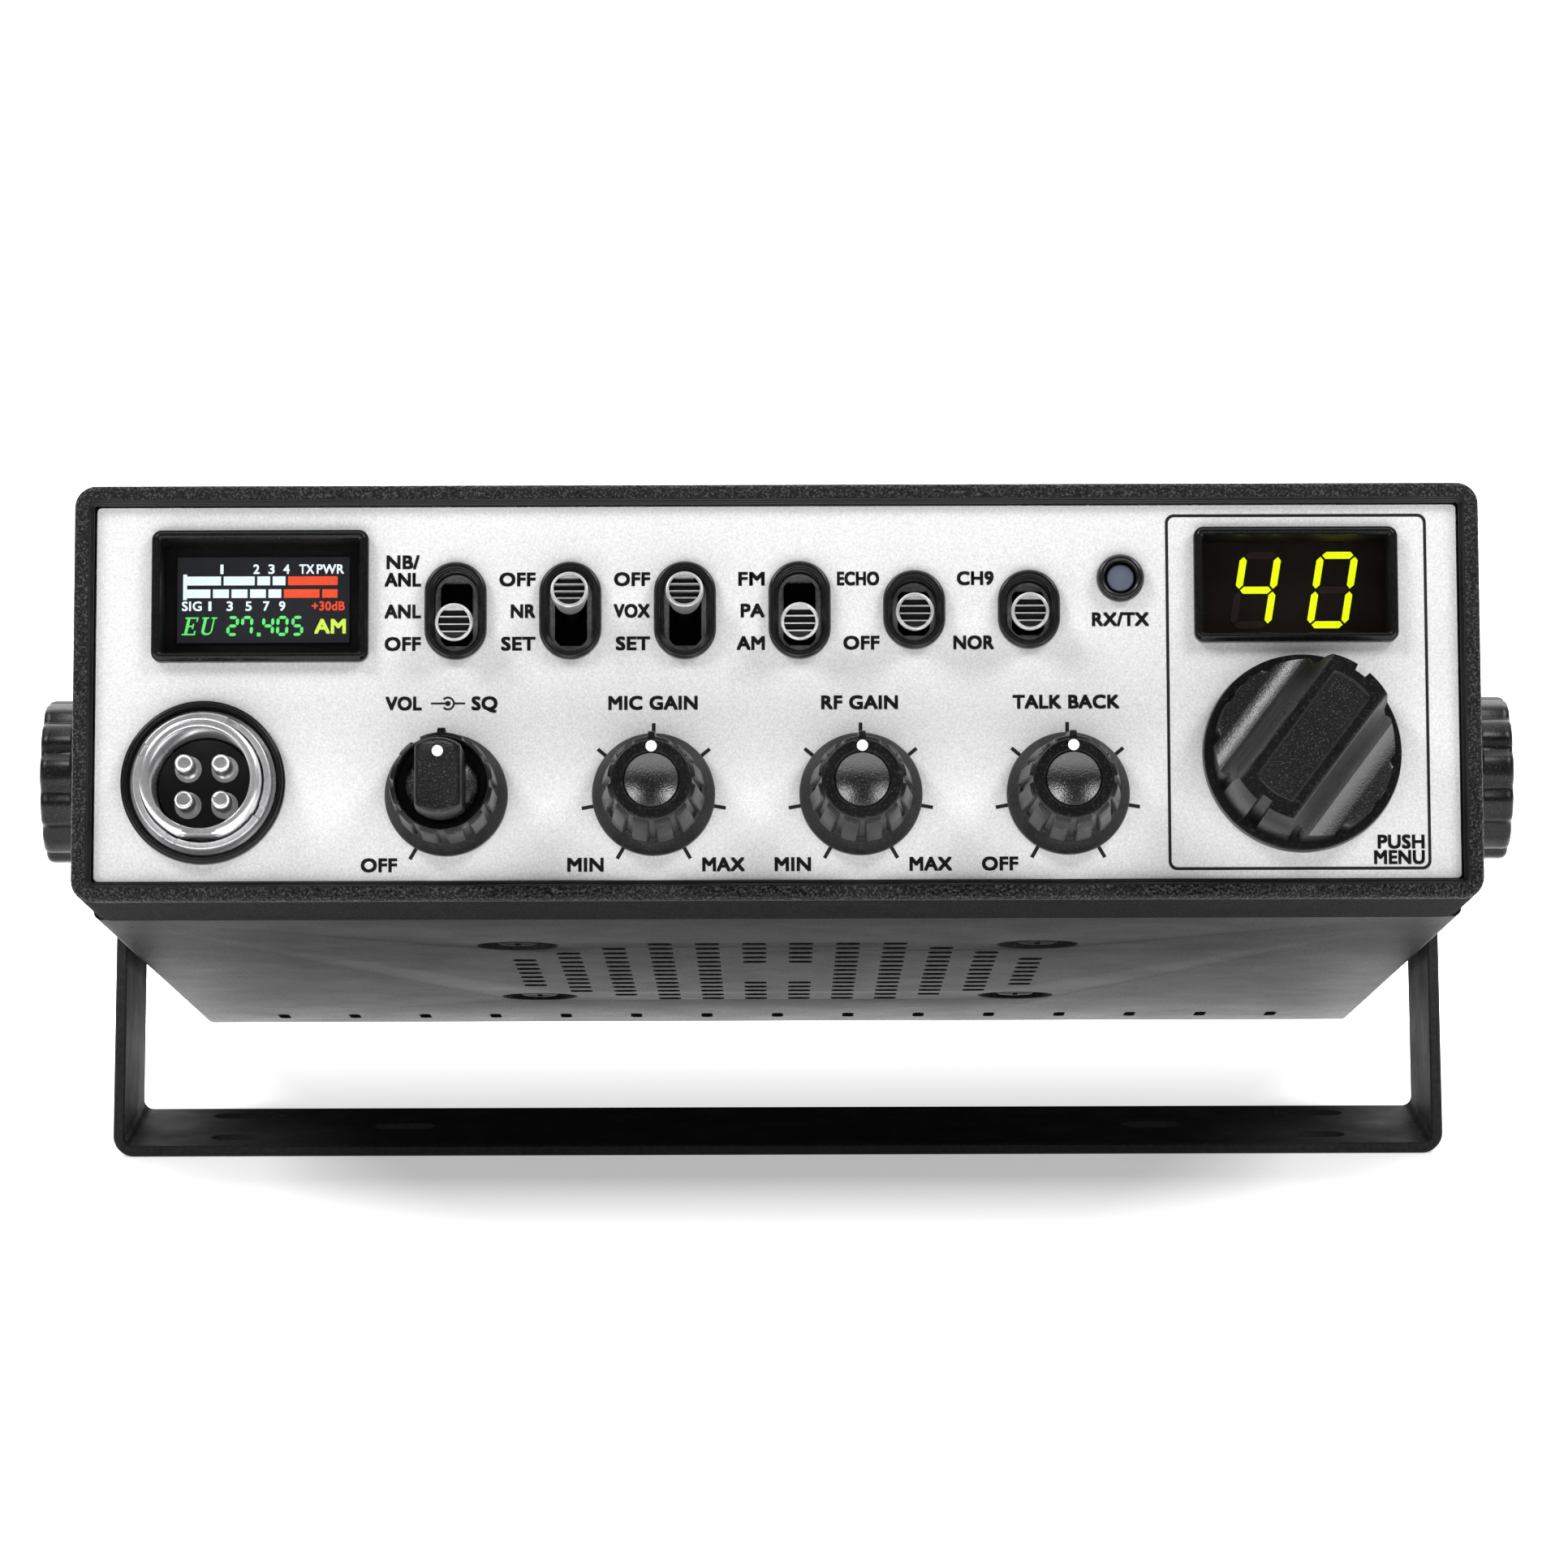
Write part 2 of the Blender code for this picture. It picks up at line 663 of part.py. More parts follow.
def display(prefix, x, z, outer, opening, module_size, radio, frame_name, lens_name, module_name):
    """A proud frame with a sloping inner wall, its window, and the display module behind the wall."""
    front, back = -0.3, PANEL_Y - GAP
    collar_end = 5.2
    collar = (opening[0] + 0.9, opening[1] + 0.6)
    frame = Solid("y")
    edge, crest = rounded(*outer, 1.3, 2), rounded(outer[0] - 0.9, outer[1] - 0.9, 0.9, 2)
    mouth = rounded(*opening, 0.4, 2)
    throat = rounded(opening[0] - 0.5, opening[1] - 0.5, 0.4, 2)
    neck = rounded(*collar, 0.4, 2)
    frame.cap(back, edge, neck)
    frame.sides([(back, edge), (front + 0.5, edge), (front, crest)])
    frame.cap(front, crest, mouth)
    frame.sides([(front, mouth), (2.8, throat), (collar_end, throat)])
    frame.cap(collar_end, neck, throat)
    frame.skin(collar_end, neck, back)
    frame.object(frame_name, GLOSSY, radio, (x, 0, z))
    lens = Solid("y")
    lens.block(3.4, 4.6, rounded(opening[0] - 1.1, opening[1] - 1.1, 0.4, 1))
    lens.object(lens_name, GLASS, radio, (x, 0, z))
    module = Solid("y")
    module.block(BEHIND_WALL, BEHIND_WALL + 4.0, rectangle(*module_size))
    module.object(module_name, GLOSSY, radio, (x, 0, z))


def lamp(radio):
    trim = Solid("y")
    trim.ring([(6.0, 2.0), (0.5, 2.0), (0.0, 2.4), (0.3, 3.0), (1.2, 3.16), (1.2, 2.5), (6.0, 2.5)], 16)
    trim.object("rx_tx_trim", GLOSSY, radio, (LAMP_X, 0, LAMP_Z))
    led = Solid("y")
    led.turned([(9.0, 2.4), (6.4, 2.4), (6.4, 1.7), (1.6, 1.7), (1.0, 1.3), (0.7, 0.6)], 12)
    led.object("rx_tx_lamp", ((0.2, 0.24, 0.3), 0.2), radio, (LAMP_X, 0, LAMP_Z))


# ---------------------------------------------------------------- switches

def switch_trim(name, index, radio):
    """An oval bush: its flange lies on the panel and its collar goes through the wall."""
    height = switch_height(index)
    place = (switch_x(index), 0, SWITCH_Z)

    def oval(width, tall):
        return rounded(width, tall, width / 2, 3)

    solid = Solid("y")
    inner, outer = oval(TRIM_W - 2.35, height - 2.35), oval(TRIM_W, height)
    crest, collar = oval(TRIM_W - 0.6, height - 0.6), oval(TRIM_W - 1.5, height - 1.5)
    steps = [(6.0, inner), (0.6, inner), (0.2, oval(TRIM_W - 1.5, height - 1.5)), (0.2, crest)]
    steps += [(0.6, outer), (PANEL_Y - GAP, outer), (PANEL_Y - GAP, collar), (6.0, collar), (6.0, inner)]
    solid.sides(steps)
    solid.object(name, GLOSSY, radio, place)


def lever(name, index, radio, up):
    """A toggle lever, drawn straight out of the panel from its pivot and turned to its rest position."""
    solid = Solid("y")
    profile = [(1.5, 0.7), (0.9, 1.4), (-0.9, 1.4), (-2.5, 0.9), (-5.8, 1.0), (-6.8, 1.95), (-10.1, 2.5)]
    profile += [(-11.3, 2.5), (-11.5, 2.3)]
    solid.turned(profile, 10)
    swing = TALL_SWING if index < 4 else SHORT_SWING
    turn = (-swing if up else swing, 0, 0)
    solid.object(name, CHROME, radio, (switch_x(index), LEVER_PIVOT_Y, SWITCH_Z), turn)


# ---------------------------------------------------------------- microphone socket

def socket(radio):
    place = (SOCKET_X, 0, SOCKET_Z)
    count = 24
    trim = Solid("y")
    profile = [(1.2, 9.65), (0.6, 9.65), (-0.3, 10.1), (-0.3, 10.6), (0.3, 10.85), (1.2, 10.85)]
    trim.ring(profile, count)
    trim.object("mic_trim_ring", GLOSSY, radio, place)

    nut = Solid("y")
    profile = [(1.2, 8.2), (-1.0, 8.2), (-1.3, 8.5), (-1.0, 9.25), (1.2, 9.25)]
    nut.ring(profile, count)
    nut.object("mic_lock_nut", CHROME, radio, place)

    shell = Solid("y")
    profile = [(16.0, 6.75), (-5.0, 6.75), (-5.0, 7.5), (-4.6, 7.9), (BEHIND_WALL, 7.9), (BEHIND_WALL, 9.8)]
    profile += [(7.6, 9.8), (7.6, 7.9), (16.0, 7.9)]
    shell.ring(profile, count)
    shell.object("mic_shell", CHROME, radio, place)

    pitch = 4.85 / 2
    pins = [(sx * pitch, sz * pitch) for sx in (-1, 1) for sz in (-1, 1)]
    disc = circle(6.4, count)
    holes = [moved(circle(1.5, 10), *pin) for pin in pins]
    insulator = Solid("y")
    for y in (6.0, 12.0):
        insulator.cap(y, disc, *holes)
    for loop in (disc, *holes):
        insulator.skin(6.0, loop, 12.0)
    insulator.object("mic_insulator", PLASTIC, radio, place)

    contacts = Solid("y")
    shafts = [moved(circle(1.2, 10), *pin) for pin in pins]
    tips = [moved(circle(0.6, 10), *pin) for pin in pins]
    plate = circle(6.2, count)
    contacts.cap(12.4, plate, *shafts)
    contacts.skin(12.4, plate, 13.6)
    contacts.cap(13.6, plate)
    for shaft, tip in zip(shafts, tips):
        contacts.skin(12.4, shaft, -0.3)
        contacts.skin(-0.3, shaft, -0.8, tip)
        contacts.cap(-0.8, tip)
    contacts.object("mic_contacts", ZINC, radio, place)


# ---------------------------------------------------------------- knobs

def gain_knob(name, x, radio):
    """A skirted, fluted knob with a dished cap; its shaft is part of it."""
    skirt, shaft = fluted(8.1), fluted(SHAFT_R)
    front = -15.4
    solid = Solid("y")
    steps = [(SHAFT_END, shaft), (0.9, shaft), (0.9, skirt), (-0.2, skirt), (-1.4, fluted(7.3))]
    steps += [(-2.6, fluted(6.75)), (-3.0, fluted(6.8, 0.7, 0.7)), (-14.0, fluted(5.8, 0.5, 0.6))]
    steps += [(-14.2, fluted(5.4)), (front + 0.3, fluted(5.35)), (front, fluted(5.1))]
    steps += [(front, fluted(3.6)), (front + 0.7, fluted(2.2))]
    solid.cap(*steps[0])
    solid.sides(steps)
    solid.cap(*steps[-1])
    solid.object(name, PLASTIC, radio, (x, 0, DIAL_Z))


def squelch_ring(radio):
    """The outer of the two concentric knobs, on a hollow shaft."""
    skirt, well = fluted(8.1), fluted(5.9)
    bore, tube = fluted(1.8), fluted(2.6)
    front = -12.8
    solid = Solid("y")
    steps = [(14.0, bore), (-9.0, bore), (-9.0, well), (front, well), (front, fluted(6.3))]
    steps += [(front + 0.3, fluted(6.75, 0.45, 0.6)), (-3.0, fluted(6.95, 0.6, 0.7)), (-2.6, fluted(6.9))]
    steps += [(-1.4, fluted(7.4)), (-0.2, skirt), (0.9, skirt), (0.9, tube), (14.0, tube), (14.0, bore)]
    solid.sides(steps)
    solid.object("squelch_ring", PLASTIC, radio, (dial_x(0), 0, DIAL_Z))


def volume_knob(radio):
    """The inner knob: a bar on a disc, and its thin shaft through the squelch ring's."""
    count = 24
    shaft, disc = circle(1.5, count), circle(4.8, count)
    foot, bar, crest = bar_shape(4.7, 3.2, count), bar_shape(5.1, 3.1, count), bar_shape(4.85, 2.87, count)
    solid = Solid("y")
    steps = [(16.0, shaft), (-9.6, shaft), (-9.6, disc), (-11.4, disc), (-11.4, foot)]
    steps += [(-13.6, foot), (-14.0, bar), (-20.8, bar), (-21.2, crest)]
    solid.cap(*steps[0])
    solid.sides(steps)
    solid.cap(*steps[-1])
    solid.object("volume_knob", PLASTIC, radio, (dial_x(0), 0, DIAL_Z))


def channel_knob(radio):
    """The large knob: skirt, scalloped body and a raised bar between two scooped sides."""
    count = 32
    body_r = 11.9
    skirt, shaft = circle(13.15, count), circle(CHANNEL_SHAFT_R, count)
    body = lobed(body_r, 0.5, count // 2)
    solid = Solid("y")
    steps = [(13.6, shaft), (0.2, shaft), (0.2, skirt), (-1.2, skirt), (-1.6, body), (-4.6, body)]
    steps += [(-5.6, bar_shape(11.7, 8.8, count)), (-9.0, bar_shape(11.6, 6.0, count))]
    steps += [(-17.0, bar_shape(11.5, 4.45, count)), (-17.5, bar_shape(11.1, 4.1, count))]
    solid.cap(*steps[0])
    solid.sides(steps)
    solid.cap(*steps[-1])
    solid.object("channel_knob", PLASTIC, radio, (CHANNEL_X, 0, CHANNEL_Z), (0, CHANNEL_TURN, 0))


# ---------------------------------------------------------------- rear sockets

REAR_PANEL_Y = CASE_D - 0.8


def rear_sockets(radio):
    inside, outside = REAR_PANEL_Y - 1.2 - GAP, REAR_PANEL_Y + GAP
    antenna = Solid("y")
    tip = outside + 12.0
    profile = [(inside - 8.0, 2.5), (inside - 7.0, 7.0), (outside, 7.0), (outside, 9.5), (outside + 2.0, 9.5)]
    profile += [(outside + 2.0, 7.9), (tip, 7.9), (tip, 6.2), (tip - 6.0, 6.2), (tip - 6.0, 2.4)]
    profile += [(tip - 1.0, 2.4)]
    antenna.turned(profile, 16)
    antenna.object("antenna_socket", ZINC, radio, (-62, 0, 2))

    power = Solid("y")
    body, well, flange = rectangle(16.0, 11.0), rectangle(12.6, 7.6), rectangle(19.0, 14.0)
    power.cap(inside - 9.0, body)
    power.skin(inside - 9.0, body, outside)
    power.cap(outside, flange, body)
    power.skin(outside, flange, outside + 3.0)
    power.cap(outside + 3.0, flange, well)
    power.skin(outside + 3.0, well, inside - 6.0)
    blades = [rectangle(0.8, 4.0, (x, 0)) for x in (-3.6, 3.6)]
    power.cap(inside - 6.0, well, *blades)
    for blade in blades:
        power.skin(inside - 6.0, blade, inside + 0.5)
        power.cap(inside + 0.5, blade)
    power.object("power_inlet", PLASTIC, radio, (-34, 0, 2))

    for name, x in (("speaker_jack", -12), ("pa_jack", 6)):
        jack = Solid("y")
        profile = [(inside - 10.0, 1.8), (inside - 10.0, 3.5), (outside, 3.5), (outside, 5.0)]
        profile += [(outside + 2.5, 5.0), (outside + 2.5, 1.8)]
        jack.ring(profile, 12)
        jack.object(name, ZINC, radio, (x, 0, 2))


# ---------------------------------------------------------------- assembly

def main():
    for obj in list(bpy.data.objects):
        bpy.data.objects.remove(obj, do_unlink=True)
    tilt_axis = empty("tilt_axis", None, (0, 0, PIVOT_HEIGHT), (-TILT, 0, 0))
    radio = empty("radio_frame", tilt_axis, (0, -PIVOT_Y, 0))
    bracket()
    for side, word in ((-1, "left"), (1, "right")):
        side_knob(word + "_side_knob", side, radio)
        washer(word + "_washer", side, radio)
    cover("top_cover", radio, True)
    cover("bottom_cover", radio, False)
    bottom_screws(radio)
    bezel(radio)
    panel(radio)
    chassis(radio)
    main_board(radio)
    control_board(radio)
    heat_sink(radio)
    speaker(radio)
    display("colour", COLOUR_X, COLOUR_Z, (28.7, 17.6), (26.2, 15.4), (31, 20), radio,
            "tft_frame", "tft_lens", "tft_module")
    display("digits", DIGITS_X, DIGITS_Z, (27.0, 15.4), (24.5, 13.3), (29, 17), radio,
            "channel_frame", "channel_lens", "digit_module")
    lamp(radio)
    socket(radio)
    rests_up = {"nr": True, "vox": True}
    for index, name in enumerate(("nb", "nr", "vox", "mode", "echo", "ch9")):
        switch_trim(name + "_switch_trim", index, radio)
        lever(name + "_lever", index, radio, rests_up.get(name, False))
    potentiometer("volume_squelch_pot", dial_x(0), 2.9, 3.8, radio)
    for index, name in enumerate(("mic_gain", "rf_gain", "talk_back"), start=1):
        potentiometer(name + "_pot", dial_x(index), SHAFT_R + 0.35, 3.5, radio)
        gain_knob(name + "_knob", dial_x(index), radio)
    squelch_ring(radio)
    volume_knob(radio)
    encoder(radio)
    channel_knob(radio)
    rear_sockets(radio)


main()
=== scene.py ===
"""The looks of a mobile transceiver that leans back in its bracket.

The radio's pieces are drawn in millimetres in its own frame: x to the right, y from the front face
backwards, z up from mid-height. TO_ROW carries that frame to its place in the bracket.
"""

import json
import math

import bmesh
import bpy
from mathutils import Matrix, Vector
from mathutils.geometry import tessellate_polygon


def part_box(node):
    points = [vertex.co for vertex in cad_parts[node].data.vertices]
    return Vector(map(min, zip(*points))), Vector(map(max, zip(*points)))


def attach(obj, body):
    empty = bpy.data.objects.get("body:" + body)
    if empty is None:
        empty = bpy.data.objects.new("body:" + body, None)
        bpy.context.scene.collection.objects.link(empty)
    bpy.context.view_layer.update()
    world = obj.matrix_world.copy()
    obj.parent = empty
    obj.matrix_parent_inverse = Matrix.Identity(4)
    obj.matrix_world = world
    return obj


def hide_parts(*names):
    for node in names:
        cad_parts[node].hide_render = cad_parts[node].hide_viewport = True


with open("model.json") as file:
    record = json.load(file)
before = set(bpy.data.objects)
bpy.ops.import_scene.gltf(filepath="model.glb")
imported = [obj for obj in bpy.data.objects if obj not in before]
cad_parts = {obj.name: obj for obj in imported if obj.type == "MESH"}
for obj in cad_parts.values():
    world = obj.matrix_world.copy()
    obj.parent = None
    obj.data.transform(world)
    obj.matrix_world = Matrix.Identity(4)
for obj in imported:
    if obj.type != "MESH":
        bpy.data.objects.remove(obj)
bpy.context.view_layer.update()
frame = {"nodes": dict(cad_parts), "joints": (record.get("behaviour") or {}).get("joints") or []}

MM = 0.001
JOINTS = {joint["name"]: joint for joint in frame["joints"]}

# The radio's frame, from the tilt joint and the direction in which the channel knob is pushed
PUSH = Vector(JOINTS["channel_push"]["axis"])
LEAN = math.atan2(-PUSH.z, PUSH.y)
UPRIGHT = Matrix.Translation(JOINTS["tilt"]["pos_m"]) @ Matrix.Rotation(-LEAN, 4, "X") @ Matrix.Scale(MM, 4)


def corners(node, into):
    """The lowest and highest corners of a CAD node in the frame that `into` leads to."""
    points = [into @ v.co for v in frame["nodes"][node].data.vertices]
    low = Vector([min(p[i] for p in points) for i in range(3)])
    high = Vector([max(p[i] for p in points) for i in range(3)])
    return low, high


FRONT = corners("front_bezel", UPRIGHT.inverted())[0].y
TO_ROW = UPRIGHT @ Matrix.Translation((0, FRONT, 0))
INTO_RADIO = TO_ROW.inverted()


def span(node):
    return corners(node, INTO_RADIO)


def centre(node):
    low, high = span(node)
    return (low + high) / 2


def size(node):
    low, high = span(node)
    return high - low


# ---------------------------------------------------------------- outlines

def circle(radius, count=64, at=(0.0, 0.0)):
    """Points of a circle, clockwise from the top."""
    turns = [math.tau * i / count for i in range(count)]
    return [(at[0] + radius * math.sin(a), at[1] + radius * math.cos(a)) for a in turns]


def arc(at, radius, start, end, steps):
    angles = [start + (end - start) * i / steps for i in range(steps + 1)]
    return [(at[0] + radius * math.cos(a), at[1] + radius * math.sin(a)) for a in angles]


def rounded(width, height, radius, steps=6, at=(0.0, 0.0)):
    """A rectangle with round corners; with radius = width / 2 it is a slot."""
    radius = min(radius, width / 2, height / 2)
    w, h = width / 2 - radius, height / 2 - radius
    points = []
    for quarter, (sx, sy) in enumerate([(1, 1), (-1, 1), (-1, -1), (1, -1)]):
        corner = (at[0] + sx * w, at[1] + sy * h)
        points += arc(corner, radius, quarter * math.pi / 2, (quarter + 1) * math.pi / 2, steps)
    return points


def drawn_in(width, height, radius, least, steps, at=(0.0, 0.0)):
    """A rounded rectangle as a function of how far it is drawn in; its corners are never below `least`."""
    return lambda inset: rounded(width - 2 * inset, height - 2 * inset, max(radius - inset, least), steps, at)


def soften(profile, steps=4):
    """Rounds the corners of a section. Its points are (height, offset) or (height, offset, radius)."""
    result = []
    for i, corner in enumerate(profile):
        if len(corner) < 3 or i in (0, len(profile) - 1):
            result.append(corner[:2])
            continue
        here = Vector(corner[:2])
        before, after = (Vector(profile[i + step][:2]) - here for step in (-1, 1))
        start = here + before.normalized() * min(corner[2], before.length * 0.48)
        end = here + after.normalized() * min(corner[2], after.length * 0.48)
        for step in range(steps + 1):
            t = step / steps
            result.append(tuple(start * (1 - t) ** 2 + here * 2 * t * (1 - t) + end * t * t))
    return result


# ---------------------------------------------------------------- solids

AXES = {
    "x": lambda a, b, h: (h, a, b),
    "y": lambda a, b, h: (a, h, b),
    "z": lambda a, b, h: (a, b, h),
}


class Solid:
    """A closed body made of flat caps with holes and of skins between outlines, in millimetres."""

    def __init__(self, axis="y"):
        self.bm = bmesh.new()
        self.at = AXES[axis]
        self.look = 0

    def vert(self, point, height):
        return self.bm.verts.new(self.at(point[0], point[1], height))

    def add(self, verts, smooth=True):
        face = self.bm.faces.new(verts)
        face.material_index = self.look
        face.smooth = smooth

    def cap(self, height, outline, *holes):
        loops = [outline, *holes]
        verts = [self.vert(p, height) for loop in loops for p in loop]
        flat = [[Vector((a, b, 0)) for a, b in loop] for loop in loops]
        for triangle in tessellate_polygon(flat):
            self.add([verts[i] for i in triangle], smooth=False)

    def skin(self, h0, loop0, h1, loop1=None):
        loop1 = loop1 or loop0
        low = [self.vert(p, h0) for p in loop0]
        high = [self.vert(p, h1) for p in loop1]
        for i in range(len(low)):
            self.add([low[i - 1], low[i], high[i], high[i - 1]])

    def sides(self, steps):
        for (h0, loop0), (h1, loop1) in zip(steps, steps[1:]):
            self.skin(h0, loop0, h1, loop1)

    def face(self, *points):
        self.add([self.bm.verts.new(p) for p in points])

    def follow(self, profile, loop, first=False, last=False):
        """Skins along a section of (height, size) points, with `loop` to draw each size, and end caps."""
        steps = [(h, loop(extent)) for h, extent in profile]
        if first:
            self.cap(*steps[0])
        self.sides(steps)
        if last:
            self.cap(*steps[-1])
        return steps[-1]

    def lathe(self, profile, count=64, at=(0.0, 0.0), closed=False):
        """Turns a section of (height, radius) points. A closed one is a ring, others get end caps."""
        profile = soften(profile)
        if closed:
            profile.append(profile[0])
        self.follow(profile, lambda radius: circle(radius, count, at), not closed, not closed)

    def slab(self, h0, h1, outline, *holes):
        self.cap(h0, outline, *holes)
        self.cap(h1, outline, *holes)
        for loop in (outline, *holes):
            self.skin(h0, loop, h1)

    def piece(self, node, looks, slot, place=None, body="radio", sharp=32.0):
        """Finishes the body as the look of a CAD node, moved by `place` within the radio's frame."""
        self.finish(node + "_look", looks, body, [node], place, sharp)

    def finish(self, name, looks, body="radio", nodes=(), place=None, sharp=32.0):
        bmesh.ops.remove_doubles(self.bm, verts=self.bm.verts, dist=2e-4)
        bmesh.ops.recalc_face_normals(self.bm, faces=self.bm.faces)
        mesh = finished(self.bm, TO_ROW @ (place or Matrix.Identity(4)), name, body, looks, nodes)
        mesh.set_sharp_from_angle(angle=math.radians(sharp))


def finished(bm, matrix, name, body, looks, nodes=()):
    """Puts a drawn mesh in the row frame, as a piece that rides on a CAD body and stands for CAD nodes."""
    bmesh.ops.transform(bm, matrix=matrix, verts=bm.verts)
    mesh = bpy.data.meshes.new(name)
    bm.to_mesh(mesh)
    bm.free()
    for look in looks:
        mesh.materials.append(look)
    obj = bpy.data.objects.new(name, mesh)
    bpy.context.collection.objects.link(obj)
    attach(obj, body)
    if nodes:
        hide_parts(*nodes)
    return mesh


# ---------------------------------------------------------------- flat drawings

class Drawing:
    """Print or lit picture: flat shapes in a plane just in front of the surface at depth y."""

    def __init__(self, y):
        self.bm = bmesh.new()
        self.y = y
        self.look = 0

    def polygon(self, points):
        verts = [self.bm.verts.new((x, self.y, z)) for x, z in points]
        for triangle in tessellate_polygon([[Vector((x, z, 0)) for x, z in points]]):
            self.add([verts[i] for i in triangle])

    def add(self, verts):
        face = self.bm.faces.new(verts)
        face.normal_update()
        if face.normal.y > 0:
            face.normal_flip()
        face.material_index = self.look

    def box(self, x0, z0, x1, z1):
        self.polygon([(x0, z0), (x1, z0), (x1, z1), (x0, z1)])

    def line(self, start, end, width):
        a, b = Vector(start), Vector(end)
        side = (b - a).orthogonal().normalized() * width / 2
        self.polygon([tuple(p) for p in (a - side, b - side, b + side, a + side)])

    def band(self, loop0, loop1, closed=True):
        """The strip between two outlines of equal length."""
        first = 0 if closed else 1
        for i in range(first, len(loop0)):
            quad = [loop0[i - 1], loop0[i], loop1[i], loop1[i - 1]]
            self.add([self.bm.verts.new((x, self.y, z)) for x, z in quad])

    def text(self, words, x, z, cap, width, weight, align="CENTER"):
        """Words `width` wide whose capitals are `cap` high, with their middle at height z. Copies shifted by
        `weight` make them bold."""
        points, polygons = letters(words)
        left, right = min(p[0] for p in points), max(p[0] for p in points)
        tall = cap / CAPITAL
        broad = (width - 2 * weight) / (right - left)
        anchor = {"RIGHT": right, "CENTER": (left + right) / 2}[align]
        for dx in (-weight, weight):
            for dz in (-weight, weight):
                verts = [self.bm.verts.new((x + dx + (px - anchor) * broad, self.y,
                                            z + dz - cap / 2 + pz * tall)) for px, pz in points]
                for polygon in polygons:
                    self.add([verts[i] for i in polygon])

    def piece(self, name, looks):
        finished(self.bm, TO_ROW, name, "radio", looks)


def letters(words):
    """The points and faces of words in Blender's own typeface, one unit tall."""
    curve = bpy.data.curves.new("words", "FONT")
    curve.body = words
    curve.space_character = 1.05
    curve.resolution_u = 3
    holder = bpy.data.objects.new("words", curve)
    bpy.context.collection.objects.link(holder)
    bpy.context.view_layer.update()
    mesh = holder.to_mesh()
    points = [(v.co.x, v.co.y) for v in mesh.vertices]
    polygons = [tuple(p.vertices) for p in mesh.polygons]
    holder.to_mesh_clear()
    bpy.data.objects.remove(holder)
    bpy.data.curves.remove(curve)
    return points, polygons


CAPITAL = max(z for x, z in letters("H")[0])  # height of a capital letter


# ---------------------------------------------------------------- materials

def colour(shade):
    """A colour with alpha, from a grey level or from red, green and blue."""
    return (*shade, 1.0) if isinstance(shade, tuple) else (shade, shade, shade, 1.0)


def set_inputs(shader_node, **values):
    """Sets a node's inputs by name, with an underscore for each space."""
    for name, value in values.items():
        shader_node.inputs[name.replace("_", " ")].default_value = value
    return shader_node


def new_node(tree, kind, **values):
    return set_inputs(tree.nodes.new("ShaderNode" + kind), **values)


def new_material(name, **values):
    material = bpy.data.materials.new(name)
    material.use_nodes = True
    tree = material.node_tree
    return material, tree, set_inputs(tree.nodes["Principled BSDF"], **values)


def on_piece(tree, texture, output):
    """Feeds a node with the piece's own coordinates, in metres, so that it moves with the piece."""
    coords = new_node(tree, "TexCoord")
    tree.links.new(coords.outputs["Object"], texture.inputs["Vector"])
    return texture.outputs[output]


def noise(tree, scale, detail=3.0):
    return on_piece(tree, new_node(tree, "TexNoise", Scale=scale, Detail=detail, Roughness=0.6), "Fac")


def cells(tree, scale):
    """Rounded cells, as in pressed leather grain."""
    texture = new_node(tree, "TexVoronoi", Scale=scale)
    texture.feature = "SMOOTH_F1"
    set_inputs(texture, Smoothness=0.6)
    return on_piece(tree, texture, "Distance")


def span_of(tree, source, low, high, start=0.3, end=0.7):
    """Spreads a pattern's range from start to end over low..high."""
    ranged = new_node(tree, "MapRange", From_Min=start, From_Max=end, To_Min=low, To_Max=high)
    tree.links.new(source, ranged.inputs["Value"])
    return ranged.outputs["Result"]


def blended(tree, factor, dark, light):
    mix = new_node(tree, "Mix")
    mix.data_type = "RGBA"
    set_inputs(mix, A=colour(dark), B=colour(light))
    tree.links.new(factor, mix.inputs["Factor"])
    return mix.outputs["Result"]


def bumped(tree, shader, height, strength, distance, below=None):
    bump = new_node(tree, "Bump", Strength=strength, Distance=distance)
    tree.links.new(height, bump.inputs["Height"])
    if below:
        tree.links.new(below, bump.inputs["Normal"])
    tree.links.new(bump.outputs["Normal"], shader.inputs["Normal"])
    return bump.outputs["Normal"]


def surface(name, dark, light, roughness, metallic=0.0, grain=2500.0, relief=0.2, depth=0.00002,
            spread=0.08, blotch=120.0, specular=0.5, painted_glint_specks=False):
    """A moulded, painted or plated surface: fine grain in colour and relief, slow change in gloss."""
    material, tree, shader = new_material(name, Metallic=metallic, Specular_IOR_Level=specular)
    slow, fine = noise(tree, blotch, 4.0), noise(tree, grain)
    # When asked for, the colour's grain narrows to few light spots: partly the plastic's own mottling, partly
    # painted glints of its sparkle.
    share = span_of(tree, fine, 0.0, 1.0, *((0.56, 0.7) if painted_glint_specks else (0.3, 0.7)))
    tree.links.new(blended(tree, share, dark, light), shader.inputs["Base Color"])
    gloss = span_of(tree, slow, max(0.02, roughness - spread), roughness + spread)
    tree.links.new(gloss, shader.inputs["Roughness"])
    bumped(tree, shader, fine, relief, depth)
    return material


